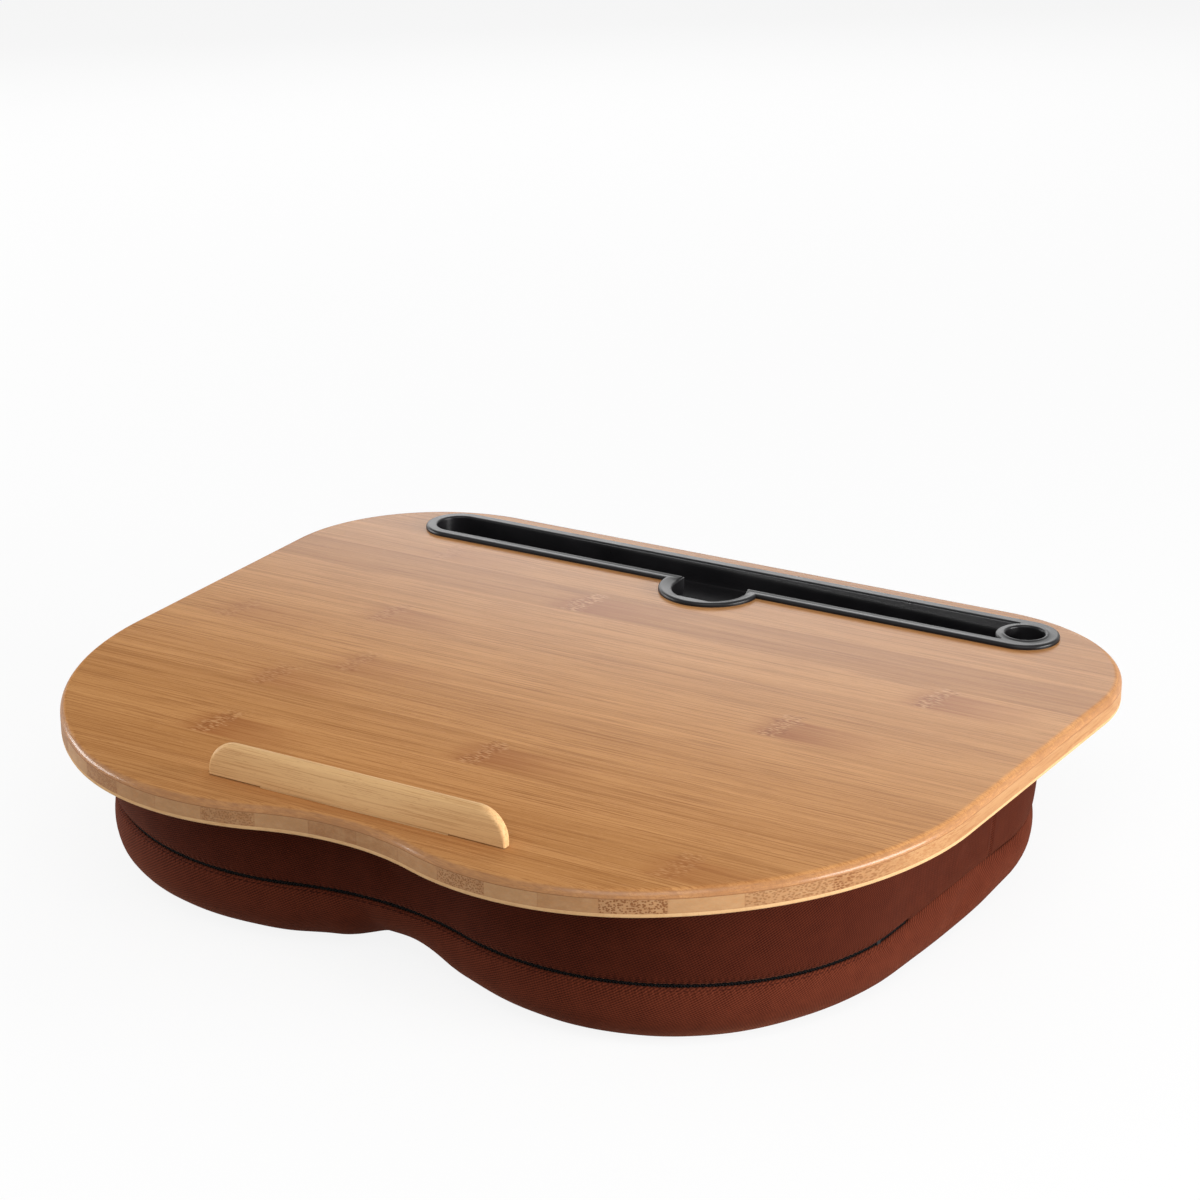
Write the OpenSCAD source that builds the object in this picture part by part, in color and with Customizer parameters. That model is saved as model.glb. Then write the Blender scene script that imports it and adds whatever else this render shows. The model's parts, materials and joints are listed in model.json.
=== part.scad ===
// Lap desk: a kidney-shaped bamboo board fixed on a stuffed cloth cushion, with a moulded
// tablet slot and pen hole along the back and a lift-out ledge at the front.
// Millimetres. +X is to the right, +Y to the back, +Z up.
// The origin is on the floor, under the middle of the board.

/* [Board] */
// Overall width of the board
board_w = 382; // [366:2:420]
// Overall depth of the board
board_d = 324; // [312:2:350]
// Radius of the two back corners
corner_r = 71; // [50:1:90]
// Radius of the long curves where the sides turn in
hip_r = 143; // [125:1:165]
// Where each side curve runs into its front lobe, degrees below the X axis
hip_join = 56; // [48:1:64]
// Distance of each front lobe's centre from the board's side
lobe_side = 124; // [118:1:128]
// Radius of the two front lobes of the board
lobe_r = 102; // [94:1:110]
// Radius of the hollow between the two lobes of the board
notch_r = 99; // [85:1:120]
// Thickness of the face ply
face_t = 3.2; // [2.4:0.2:5]
// Thickness of the core strips
core_t = 5.2; // [4.4:0.2:9]
// Thickness of the back ply
back_t = 1.6; // [1.2:0.2:3]
// Radius worked on the board's upper edge
edge_r = 3.2; // [1:0.2:3.2]
// Bevel worked on the board's lower edge
back_bevel = 0.6; // [0.2:0.1:1]
// Width of one core strip
strip_w = 20; // [16:1:30]
// Place of a strip joint to the right of the middle
strip_shift = 7; // [0:1:12]
// Glue line between neighbouring strips
glue_line = 0.06; // [0.04:0.02:0.1]

/* [Ledge] */
// Length of the ledge
ledge_l = 126.5; // [100:0.5:150]
// Height of the ledge above the board
ledge_h = 13.4; // [8:0.2:20]
// Thickness of the ledge
ledge_t = 3.8; // [3.4:0.2:8]
// Radius of the ledge's upper corners
ledge_corner = 11.5; // [4:0.5:12]
// Bevel along the ledge's edges
ledge_bevel = 0.9; // [0.4:0.1:1.2]
// Distance of the ledge behind the middle of the board's front hollow
ledge_setback = 7.7; // [5:0.1:20]
// Length of the tenon under the ledge
tenon_l = 80; // [50:1:90]
// Depth of the groove that takes the tenon
groove_depth = 6; // [4:0.5:7]
// Side clearance of the tenon in its groove
ledge_fit = 0.2; // [0.1:0.05:0.4]
// Shadow gap between the ledge and the board
ledge_gap = 0.3; // [0.2:0.1:0.6]

/* [Slot insert] */
// Length of the insert's rim
rim_l = 302; // [270:2:320]
// Width of the insert's rim
rim_w = 30; // [28:0.5:32]
// Height of the rim above the board
rim_h = 1.8; // [1.4:0.2:4]
// Bevel along the rim's upper edge
rim_bevel = 0.7; // [0.3:0.1:1]
// Width of the rim's flat between its edge and the slot
rail_w = 5; // [4.4:0.1:6]
// Wall of the well below the rim
well_wall = 1.6; // [1.2:0.1:2]
// Floor of the well
well_floor = 1.5; // [1:0.1:2.5]
// Clearance of the well in the board
well_fit = 0.3; // [0.2:0.05:0.6]
// Distance from the board's back edge to the middle of the slot
slot_setback = 26.2; // [24:0.1:40]
// Outer radius of the half-moon finger notch
moon_r = 22; // [18:0.5:26]
// Width of the rim around the finger notch
moon_rail = 6; // [4.5:0.5:8]
// Radius of the pen hole
pen_r = 8; // [6:0.25:9]
// Distance from the rim's right end to the pen hole's centre
pen_setback = 14; // [12.6:0.1:16]
// Radius of the collar that closes the slot at the pen hole
collar_r = 12; // [11.8:0.1:13]
// Bevel around the mouth of the pen hole
pen_bevel = 0.6; // [0.3:0.1:1]

/* [Cushion] */
// Height of the side band, from the board down to the seam
band_h = 34; // [28:1:42]
// Height of the bottom panel, from the floor up to the seam
panel_h = 28.5; // [22:0.5:36]
// Inset of the cushion from the board's sides
side_inset = 20.5; // [16:0.5:28]
// Inset of the cushion from the board's back edge
back_inset = 18.2; // [14:0.2:26]
// Inset of the cushion from the board's front
front_inset = 25.3; // [20:0.1:30]
// Radius of the cushion's back corners
pad_corner_r = 89; // [70:1:100]
// Distance of each cushion lobe's centre from the cushion's side
pad_lobe_side = 102.5; // [99:0.5:106]
// Radius of the cushion's front lobes
pad_lobe_r = 98; // [92:1:104]
// Radius of the hollow in the cushion's front
pad_notch_r = 115; // [95:1:135]
// Fall of the seam towards the right, for each millimetre of width
seam_fall = 0.03; // [0:0.005:0.04]
// Thickness of the cloth with its backing
cloth_t = 1.2; // [0.8:0.1:1.6]
// How far the band swells out at half height
band_swell = 1.2; // [0:0.1:3]
// How far the seam lies inside the band's upper edge
seam_in = 1; // [0:0.1:3]
// How far the stitching pulls the cloth in at the seam
seam_pull = 0.9; // [0.5:0.1:1.2]
// Distance over which the bottom panel rolls under
roll_w = 30; // [24:1:40]
// How far the bottom panel swells out under the seam
panel_swell = 2.8; // [1:0.1:4]
// Extra swell of the bottom panel at the two lobes
lobe_swell = 1.9; // [0:0.1:3]
// Depth of the fold in the bottom panel at the front hollow
fold_depth = 7.5; // [0:0.5:10]
// Lift of the bottom panel at that fold
fold_lift = 4.8; // [0:0.2:7]
// Half width of that fold
fold_w = 22; // [15:1:30]
// Width of the hem that is turned in under the board
hem_w = 12; // [10:0.5:18]
// Thickness of the inner pillow's cloth
liner_t = 0.6; // [0.5:0.1:1]
// Play between the cover and the inner pillow
liner_gap = 0.85; // [0.8:0.05:0.95]

/* [Zip and staples] */
// Width of the slit in which the zip shows
slit_w = 3.2; // [3:0.1:3.6]
// Thickness of the zip tapes
tape_t = 0.5; // [0.4:0.1:0.6]
// Free gap between the two tapes
tape_gap = 0.9; // [0.8:0.05:1.1]
// Width across one coil
coil_w = 1; // [0.8:0.05:1.1]
// Thickness of the coils
coil_t = 1.1; // [0.8:0.05:1.1]
// Free gap between the two coils
coil_gap = 0.8; // [0.7:0.05:0.9]
// Length of the slider
slider_l = 8.4; // [7:0.2:10]
// Width of the slider
slider_w = 5.2; // [4.8:0.1:5.6]
// Thickness of the slider's two plates
plate_t = 0.8; // [0.6:0.1:1]
// Thickness of the neck between the plates
neck_t = 0.4; // [0.3:0.05:0.5]
// Length of the pull tab from its pivot
pull_l = 16; // [12:0.5:22]
// Width of the pull tab
pull_w = 4.8; // [4:0.2:6]
// Thickness of the pull tab
pull_t = 1; // [0.8:0.1:1.2]
// Radius of the bar that carries the pull tab
bar_r = 0.5; // [0.4:0.05:0.6]
// Running clearance of the pull tab on its bar
bar_fit = 0.08; // [0.05:0.01:0.1]
// Width of a staple's crown
staple_w = 10; // [8:0.5:12]
// Length of a staple's legs
staple_l = 6; // [4.5:0.5:7]
// Thickness of the staple wire
wire_t = 0.6; // [0.5:0.1:0.8]

/* [Hidden] */
$fn = 48;

// Colours, as the materials look
bamboo = [0.80, 0.60, 0.38];
bamboo_core = [0.84, 0.68, 0.47];
bamboo_pale = [0.86, 0.69, 0.44];
black_plastic = [0.06, 0.06, 0.065];
brown_cloth = [0.30, 0.11, 0.07];
black_tape = [0.05, 0.045, 0.045];
dark_metal = [0.16, 0.15, 0.15];
liner_white = [0.88, 0.87, 0.84];
bead_white = [0.93, 0.93, 0.92];
staple_steel = [0.66, 0.66, 0.68];

// Heights
under_z = panel_h + band_h;
core_z = under_z + back_t;
face_z = core_z + core_t;
top_z = face_z + face_t;
board_t = face_t + core_t + back_t;
rim_z = top_z + rim_h;

// An arc as rows of [x, y, normal x, normal y]. side is -1 where the outline is hollow.
function arc(c, r, a0, a1, steps, first, side = 1) =
    [for (i = [first:steps])
        let (a = a0 + (a1 - a0) * i / steps)
        [c.x + r * cos(a), c.y + r * sin(a), side * cos(a), side * sin(a)]];

function straight(p, q, n, steps) =
    [for (i = [1:steps]) [p.x + (q.x - p.x) * i / steps, p.y + (q.y - p.y) * i / steps, n.x, n.y]];

function unit(a) = [cos(a), sin(a)];

// Direction, seen from both centres, in which the straight side touches two circles
function side_angle(c1, r1, c2, r2) =
    atan2(c1.y - c2.y, c1.x - c2.x) - acos((r2 - r1) / norm(c1 - c2));

function notch_y(lobe, r, hollow_r) = lobe.y - sqrt((r + hollow_r) ^ 2 - lobe.x ^ 2);

// Right half of a kidney outline, from the middle of the front hollow to the middle of the back.
// counts are the steps on the hollow, lobe, hip, side, corner and back.
function kidney_half(corner, cr, hip, hr, join, lobe, lr, nr, counts) =
    let (ny = notch_y(lobe, lr, nr))
    let (an = atan2(lobe.y - ny, lobe.x))
    let (aside = side_angle(corner, cr, hip, hr))
    let (alobe = counts[2] > 0 ? join : aside)
    concat(
        arc([0, ny], nr, 90, an, counts[0], 0, -1),
        arc(lobe, lr, an - 180, alobe, counts[1], 1),
        counts[2] > 0 ? arc(hip, hr, join, aside, counts[2], 1) : [],
        straight(hip + hr * unit(aside), corner + cr * unit(aside), unit(aside), counts[3]),
        arc(corner, cr, aside, 90, counts[4], 1),
        straight([corner.x, corner.y + cr], [0, corner.y + cr], [0, 1], counts[5])
    );

function mirrored(half) =
    concat(half, [for (i = [len(half) - 2:-1:1]) [-half[i][0], half[i][1], -half[i][2], half[i][3]]]);

// The outline moved in by e, at height z
function ring(base, e, z) = [for (p = base) [p[0] - e * p[2], p[1] - e * p[3], z]];
function flat_ring(base, e) = [for (p = base) [p[0] - e * p[2], p[1] - e * p[3]]];

// Board outline
lobe_x = board_w / 2 - lobe_side;
board_corner = [board_w / 2 - corner_r, board_d / 2 - corner_r];
board_lobe = [lobe_x, lobe_r - board_d / 2];
board_hip = board_lobe - (hip_r - lobe_r) * unit(-hip_join);
board_base = mirrored(kidney_half(board_corner, corner_r, board_hip, hip_r, -hip_join,
    board_lobe, lobe_r, notch_r, [4, 12, 10, 1, 16, 1]));
hollow_y = notch_y(board_lobe, lobe_r, notch_r) + notch_r;

// Cushion outline, with its steps on the hollow, each lobe, side, corner and half back
pad_hollow_steps = 3;
pad_lobe_steps = 16;
pad_side_steps = 4;
pad_corner_steps = 10;
pad_back_steps = 4;
pad_corner = [board_w / 2 - side_inset - pad_corner_r, board_d / 2 - back_inset - pad_corner_r];
pad_lobe = [board_w / 2 - side_inset - pad_lobe_side, pad_lobe_r + front_inset - board_d / 2];
pad_half = kidney_half(pad_corner, pad_corner_r, pad_lobe, pad_lobe_r, 0, pad_lobe, pad_lobe_r,
    pad_notch_r, [pad_hollow_steps, pad_lobe_steps, 0, pad_side_steps, pad_corner_steps, pad_back_steps]);
pad_base = mirrored(pad_half);
pad_n = len(pad_base);
zip_steps = pad_hollow_steps + pad_lobe_steps;
side_seam = zip_steps + pad_side_steps - 1;
side_end = zip_steps + pad_side_steps;
corner_end = side_end + pad_corner_steps;
fold_end = pad_hollow_steps + 4;
coarse_half = concat(
    [for (i = [0:fold_end - 1]) i],
    [for (i = [fold_end:2:zip_steps - 1]) i],
    [zip_steps],
    [for (i = [side_end:2:corner_end - 1]) i],
    [corner_end, corner_end + pad_back_steps]);
coarse = concat(coarse_half, [for (k = [len(coarse_half) - 2:-1:1]) pad_n - coarse_half[k]]);
front_span = [for (i = [-side_seam:side_seam]) i];
rear_span = [for (i = [side_seam:pad_n - side_seam]) i];
zip_span = [for (i = [-zip_steps:zip_steps]) i];
coil_span = [for (i = [-zip_steps + 1:zip_steps - 1]) i];
whole = [for (i = [0:pad_n - 1]) i];

function pad_at(i) = pad_base[(i + pad_n) % pad_n];
function signed(i) = i > pad_n / 2 ? i - pad_n : i;

// The seam falls a little towards the right, where the stuffing has settled
function seam_z(x) = panel_h - seam_fall * x;
seam_tilt = atan(seam_fall);

// Cloth edges part at the zip and meet in the plain seam beside it
seam_play = 0.05;
function half_slit(i) = abs(signed(i)) <= zip_steps ? slit_w / 2 : seam_play;

// How strongly a point belongs to the lobes, or to the fold between them
lobe_reach = 55;
lobe_middle = 100;
lobe_fade = 60;
function lobe_share(p) =
    exp(-((abs(p[0]) - lobe_middle) / lobe_reach) ^ 2) * max(0, min(1, -p[1] / lobe_fade));
function fold_share(p) = p[1] < 0 ? exp(-(p[0] / fold_w) ^ 2) : 0;

seam_e = seam_in + seam_pull;
flat_cut = 0.5;

// Point on the side band: s runs from 0 at the board to 1 at the seam, off is the depth in the cloth
function band_point(i, s, off) =
    let (p = pad_at(i))
    let (e = seam_in * s - band_swell * sin(180 * s) + (s == 1 ? seam_pull : 0) + off)
    let (low = seam_z(p[0]) + half_slit(i))
    [p[0] - e * p[2], p[1] - e * p[3], under_z + (low - under_z) * s];

// Point on the bottom panel: t runs from 0 degrees at the seam to 90 where it meets the floor
function panel_point(i, t, off) =
    let (p = pad_at(i))
    let (sz = seam_z(p[0]))
    let (swell = panel_swell * sin(2 * t) ^ 1.5 + lobe_swell * lobe_share(p) * sin(t))
    let (e = seam_in + roll_w * (1 - cos(t)) - swell + fold_depth * fold_share(p) * sin(t)
        + (t == 0 ? seam_pull : 0) + off * cos(t))
    let (drop = (sz + flat_cut - fold_lift * fold_share(p)) * sin(t))
    [p[0] - e * p[2], p[1] - e * p[3],
        max(0, sz - drop - (t == 0 ? half_slit(i) : 0)) + off * sin(t)];

function flat_point(i, e, z) = let (p = pad_at(i)) [p[0] - e * p[2], p[1] - e * p[3], z];

// Point beside the seam, dz above or below it
function seam_point(i, dz, e) = let (p = pad_at(i)) [p[0] - e * p[2], p[1] - e * p[3], seam_z(p[0]) + dz];

function flatten(rows) = [for (r = rows) for (p = r) p];
function tri(a, b, c, d) = [[a, b, c], [a, c, d]];

// Side faces between the rows of a grid of points, each row m points long.
// From row flip_from on, the quads are split the other way, so both faces of a cloth bend alike.
function grid_faces(m, rows, round_way, round_across, flip_from) =
    [for (j = [0:rows - (round_across ? 1 : 2)])
        for (i = [0:m - (round_way ? 1 : 2)])
            let (j2 = (j + 1) % rows)
            let (i2 = (i + 1) % m)
            each j < flip_from
                ? tri(j * m + i, j * m + i2, j2 * m + i2, j2 * m + i)
                : tri(j * m + i2, j2 * m + i2, j2 * m + i, j * m + i)];

// A closed stack of rings, from the highest to the lowest, with a point closing each end
module stack(rings, top, bottom) {
    m = len(rings[0]);
    rows = len(rings);
    faces = concat(
        [for (i = [0:m - 1]) [rows * m, (i + 1) % m, i]],
        grid_faces(m, rows, true, false, rows),
        [for (i = [0:m - 1]) [(rows - 1) * m + i, (rows - 1) * m + (i + 1) % m, rows * m + 1]]);
    polyhedron(concat(flatten(rings), [top, bottom]), faces, convexity = 6);
}

// A band of cloth: outer rows from top to bottom, inner rows the same way round
module ribbon(outer, inner, round_way = false) {
    m = len(outer[0]);
    h = len(outer);
    rows = 2 * h;
    back = [for (j = [h - 1:-1:0]) inner[j]];
    first_cap = [for (j = [0:h - 2])
        each tri((rows - 1 - j) * m, j * m, (j + 1) * m, (rows - 2 - j) * m)];
    last_cap = [for (j = [0:h - 2])
        each tri(j * m + m - 1, (rows - 1 - j) * m + m - 1, (rows - 2 - j) * m + m - 1, (j + 1) * m + m - 1)];
    faces = concat(
        grid_faces(m, rows, round_way, true, h),
        round_way ? [] : first_cap,
        round_way ? [] : last_cap);
    polyhedron(concat(flatten(outer), flatten(back)), faces, convexity = 8);
}

// Outline of the slot with its half-moon notch: half width a, notch radius m
moon_y = -rim_w / 2;
rim_end_x = rim_l / 2 - rim_w / 2;
function arc2(c, r, a0, a1, steps) = [for (i = [0:steps]) c + r * unit(a0 + (a1 - a0) * i / steps)];
function slot_outline(a, m) =
    let (cut = asin(max(0, -moon_y - a) / m))
    concat(
        arc2([rim_end_x, 0], a, -90, 90, 24),
        arc2([-rim_end_x, 0], a, 90, 270, 24),
        arc2([0, moon_y], m, 180 - cut, 360 + cut, 28));

// Opening of the well, which ends at the right against the collar of the pen hole
slot_a = rim_w / 2 - rail_w;
moon_in = moon_r - moon_rail;
pen_x = rim_l / 2 - pen_setback;
function well_opening() =
    let (cut = asin((-moon_y - slot_a) / moon_in))
    let (turn = asin(slot_a / collar_r))
    concat(
        arc2([pen_x, 0], collar_r, 180 + turn, 180 - turn, 20),
        arc2([-rim_end_x, 0], slot_a, 90, 270, 24),
        arc2([0, moon_y], moon_in, 180 - cut, 360 + cut, 24));

slot_y = board_d / 2 - slot_setback;
cut_a = slot_a + well_wall + well_fit;
cut_moon = moon_in + well_wall + well_fit;

// Space in the board for the well
module well_cut() {
    translate([0, slot_y, under_z - 1])
        linear_extrude(board_t + 2)
            polygon(slot_outline(cut_a, cut_moon));
}

// Groove for the ledge's tenon
ledge_y = hollow_y + ledge_setback;
module groove_cut() {
    translate([-tenon_l / 2 - ledge_fit, ledge_y - ledge_fit, top_z - groove_depth])
        cube([tenon_l + 2 * ledge_fit, ledge_t + 2 * ledge_fit, groove_depth + 1]);
}

// Staples hold the hem to the board, except under the slot
staple_e = hem_w * 0.55;
staple_step = 4;
staple_margin = 26;
staple_at = [for (i = [0:staple_step:pad_n - 1]) if (pad_at(i)[1] < slot_y - staple_margin) i];
hole_play = 0.05;
module each_staple() {
    for (i = staple_at) {
        p = pad_at(i);
        translate([p[0] - staple_e * p[2], p[1] - staple_e * p[3], under_z - cloth_t])
            rotate([0, 0, atan2(p[3], p[2]) + 90])
                children();
    }
}
module staple_legs(play) {
    for (s = [-1, 1])
        translate([s * (staple_w - wire_t) / 2 - wire_t / 2 - play, -wire_t / 2 - play, -wire_t])
            cube([wire_t + 2 * play, wire_t + 2 * play, staple_l + wire_t + play]);
}
module staple_holes() {
    each_staple() staple_legs(hole_play);
}

module face_ply() {
    round_r = min(edge_r, face_t);
    steps = 5;
    rings = concat(
        [for (i = [0:steps])
            let (a = 90 - 90 * i / steps)
            ring(board_base, round_r * (1 - cos(a)), top_z - round_r * (1 - sin(a)))],
        round_r < face_t ? [ring(board_base, 0, face_z)] : []);
    color(bamboo)
        difference() {
            stack(rings, [0, 0, top_z], [0, 0, face_z]);
            well_cut();
            groove_cut();
        }
}

module core_strips() {
    first = ceil((board_w / 2 + strip_shift) / strip_w);
    last = ceil((board_w / 2 - strip_shift) / strip_w);
    color(bamboo_core)
        difference() {
            for (k = [-first:last - 1])
                intersection() {
                    translate([0, 0, core_z])
                        linear_extrude(core_t)
                            polygon(flat_ring(board_base, 0));
                    translate([strip_shift + k * strip_w + glue_line / 2, -board_d, core_z - 1])
                        cube([strip_w - glue_line, 2 * board_d, core_t + 2]);
                }
            well_cut();
            groove_cut();
            staple_holes();
        }
}

module back_ply() {
    rings = [
        ring(board_base, 0, core_z),
        ring(board_base, 0, under_z + back_bevel),
        ring(board_base, back_bevel, under_z)];
    color(bamboo)
        difference() {
            stack(rings, [0, 0, core_z], [0, 0, under_z]);
            well_cut();
            staple_holes();
        }
}

module ledge() {
    r = min(ledge_corner, ledge_h - ledge_bevel - 0.5);
    function front(b) = concat(
        [[-ledge_l / 2 + b, b], [ledge_l / 2 - b, b]],
        arc2([ledge_l / 2 - r, ledge_h - r], r - b, 0, 90, 8),
        arc2([-ledge_l / 2 + r, ledge_h - r], r - b, 90, 180, 8));
    function slice(b, y) = [for (q = front(b)) [q.x, y, q.y]];
    rings = [
        slice(ledge_bevel, 0),
        slice(0, ledge_bevel),
        slice(0, ledge_t - ledge_bevel),
        slice(ledge_bevel, ledge_t)];
    color(bamboo_pale)
        translate([0, ledge_y, top_z + ledge_gap])
            union() {
                stack(rings, [0, 0, ledge_h / 2], [0, ledge_t, ledge_h / 2]);
                translate([-tenon_l / 2, 0, -groove_depth - ledge_gap])
                    cube([tenon_l, ledge_t, groove_depth + ledge_gap + ledge_h / 2]);
            }
}

module slot_insert() {
    rim = [
        [for (q = slot_outline(rim_w / 2 - rim_bevel, moon_r - rim_bevel)) [q.x, q.y, rim_h]],
        [for (q = slot_outline(rim_w / 2, moon_r)) [q.x, q.y, rim_h - rim_bevel]],
        [for (q = slot_outline(rim_w / 2, moon_r)) [q.x, q.y, 0]]];
    pen_depth = board_t - well_floor + rim_h;
    color(black_plastic)
        translate([0, slot_y, top_z])
            difference() {
                union() {
                    stack(rim, [0, 0, rim_h], [0, 0, 0]);
                    translate([0, 0, -board_t])
                        linear_extrude(board_t + rim_h / 2)
                            polygon(slot_outline(cut_a - well_fit, cut_moon - well_fit));
                }
                translate([0, 0, well_floor - board_t])
                    linear_extrude(board_t + rim_h)
                        polygon(well_opening());
                translate([pen_x, 0, well_floor - board_t])
                    cylinder(r = pen_r, h = pen_depth + 1);
                translate([pen_x, 0, rim_h - pen_bevel])
                    cylinder(r1 = pen_r, r2 = pen_r + 2 * pen_bevel, h = 2 * pen_bevel);
            }
}

// The side band with the hem turned in under the board
band_rows = [0.25, 0.5, 0.75, 0.9, 1];
module band(span) {
    outer = concat(
        [[for (i = span) flat_point(i, hem_w, under_z)]],
        [[for (i = span) band_point(i, 0, 0)]],
        [for (s = band_rows) [for (i = span) band_point(i, s, 0)]]);
    inner = concat(
        [[for (i = span) flat_point(i, hem_w, under_z - cloth_t)]],
        [[for (i = span) flat_point(i, cloth_t, under_z - cloth_t)]],
        [for (s = band_rows) [for (i = span) band_point(i, s, cloth_t)]]);
    ribbon(outer, inner);
}

module front_band() {
    color(brown_cloth)
        difference() {
            band(front_span);
            staple_holes();
        }
}

module rear_band() {
    color(brown_cloth)
        difference() {
            band(rear_span);
            staple_holes();
        }
}

flat_in = 26;
module bottom_panel() {
    outer_turns = [0, 12, 30, 50, 70, 90];
    inner_turns = [90, 60, 30, 12, 0];
    outer = concat(
        [for (t = outer_turns) [for (i = whole) panel_point(i, t, 0)]],
        [[for (i = whole) flat_point(i, seam_in + roll_w + flat_in, 0)]]);
    inner = concat(
        [[for (i = whole) flat_point(i, seam_in + roll_w + flat_in, cloth_t)]],
        [for (t = inner_turns) [for (i = whole) panel_point(i, t, cloth_t)]]);
    m = pad_n;
    ho = len(outer);
    rows = ho + len(inner);
    faces = concat(
        grid_faces(m, ho, true, false, ho),
        [for (i = [0:m - 1]) [(ho - 1) * m + i, (ho - 1) * m + (i + 1) % m, rows * m]],
        [for (f = grid_faces(m, rows - ho, true, false, 0)) [for (v = f) v + ho * m]],
        [for (i = [0:m - 1]) [rows * m + 1, ho * m + (i + 1) % m, ho * m + i]],
        [for (i = [0:m - 1]) let (k = (i + 1) % m) let (b = (rows - 1) * m) each tri(b + i, b + k, k, i)]);
    color(brown_cloth)
        polyhedron(concat(flatten(outer), flatten(inner), [[0, 0, 0], [0, 0, cloth_t]]), faces, convexity = 6);
}

// Zip: two tapes behind the slit, two coils in it
tape_play = 0.18;
tape_e = seam_e + cloth_t + tape_play;
module zip_tape_upper() {
    function rows(d) = [
        [for (i = zip_span) band_point(i, 0.75, cloth_t + tape_play + d)],
        [for (i = zip_span) band_point(i, 0.9, cloth_t + tape_play + d)],
        [for (i = zip_span) seam_point(i, slit_w / 2, tape_e + d)],
        [for (i = zip_span) seam_point(i, tape_gap / 2, tape_e + d)]];
    color(black_tape) ribbon(rows(0), rows(tape_t));
}

module zip_tape_lower() {
    function rows(d) = [
        [for (i = zip_span) seam_point(i, -tape_gap / 2, tape_e + d)],
        [for (i = zip_span) seam_point(i, -slit_w / 2, tape_e + d)],
        [for (i = zip_span) panel_point(i, 12, cloth_t + tape_play + d)]];
    color(black_tape) ribbon(rows(0), rows(tape_t));
}

coil_play = 0.05;
module coil(side) {
    near = side * coil_gap / 2;
    far = side * (coil_gap / 2 + coil_w);
    upper = max(near, far);
    lower = min(near, far);
    e = seam_e + coil_play;
    ribbon(
        [[for (i = coil_span) seam_point(i, upper, e)], [for (i = coil_span) seam_point(i, lower, e)]],
        [[for (i = coil_span) seam_point(i, upper, e + coil_t)], [for (i = coil_span) seam_point(i, lower, e + coil_t)]]);
}

module zip_coil_upper() {
    color(black_tape) coil(1);
}

module zip_coil_lower() {
    color(black_tape) coil(-1);
}

// Places on the zip are set about a lobe's centre, in the plane of the seam.
// There, X points out of the cushion, Y runs along the zip and Z is square to the seam's plane.
zip_r = pad_lobe_r - seam_e;
zip_side = side_angle(pad_corner, pad_corner_r, pad_lobe, pad_lobe_r);
lobe_start = atan2(pad_lobe.y - notch_y(pad_lobe, pad_lobe_r, pad_notch_r), pad_lobe.x) - 180;
coil_end = zip_side - (zip_side - lobe_start) / pad_lobe_steps;
function turn_of(length) = length / zip_r * 180 / PI;
module on_zip(side, angle) {
    translate([0, 0, panel_h])
        rotate([0, seam_tilt, 0])
            translate([side * pad_lobe.x / cos(seam_tilt), pad_lobe.y, 0])
                rotate([0, 0, angle])
                    children();
}

// A curved block about the lobe's centre, from radius r, and t thick, w high and l long
module curved_block(r, t, w, l) {
    a = turn_of(l);
    rotate([0, 0, -a / 2])
        rotate_extrude(angle = a, $fn = 360)
            translate([r, -w / 2])
                square([t, w]);
}

stop_l = 2.2;
stop_w = 2.6;
stop_space = 0.8;
stop_angle = coil_end + turn_of(stop_l / 2 + stop_space);
module zip_stop_right() {
    color(dark_metal)
        on_zip(1, stop_angle)
            curved_block(zip_r - coil_play - coil_t, coil_t, stop_w, stop_l);
}

// The slider waits at the left end of the closed zip
slider_angle = 180 - coil_end;
slider_rest = slider_angle - turn_of(slider_l / 2 + stop_space + stop_l / 2);
module zip_stop_left() {
    color(dark_metal)
        on_zip(-1, slider_rest)
            curved_block(zip_r - coil_play - coil_t, coil_t, stop_w, stop_l);
}

plate_gap_out = 1.4;
plate_gap_in = 0.7;
outer_plate_r = zip_r + plate_gap_out;
inner_plate_r = zip_r - cloth_t - tape_play - tape_t - plate_gap_in - plate_t;
ear_gap = 2.2;
ear_t = 0.8;
ear_l = 2.4;
bar_x = outer_plate_r + plate_t + 1.4;
neck_l = 2.6;
module zip_slider() {
    color(dark_metal)
        on_zip(-1, slider_angle)
            union() {
                curved_block(outer_plate_r, plate_t, slider_w, slider_l);
                curved_block(inner_plate_r, plate_t, slider_w, slider_l);
                rotate([0, 0, -turn_of(slider_l / 4)])
                    curved_block(inner_plate_r, outer_plate_r - inner_plate_r + plate_t, neck_t, neck_l);
                for (s = [-1, 1])
                    translate([outer_plate_r + plate_t / 2, -ear_l / 2, s * (ear_gap + ear_t) / 2 - ear_t / 2])
                        cube([bar_x + bar_r + 0.3 - outer_plate_r - plate_t / 2, ear_l, ear_t]);
                translate([bar_x, 0, -ear_gap / 2 - ear_t / 2])
                    cylinder(r = bar_r, h = ear_gap + ear_t);
            }
}

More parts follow.
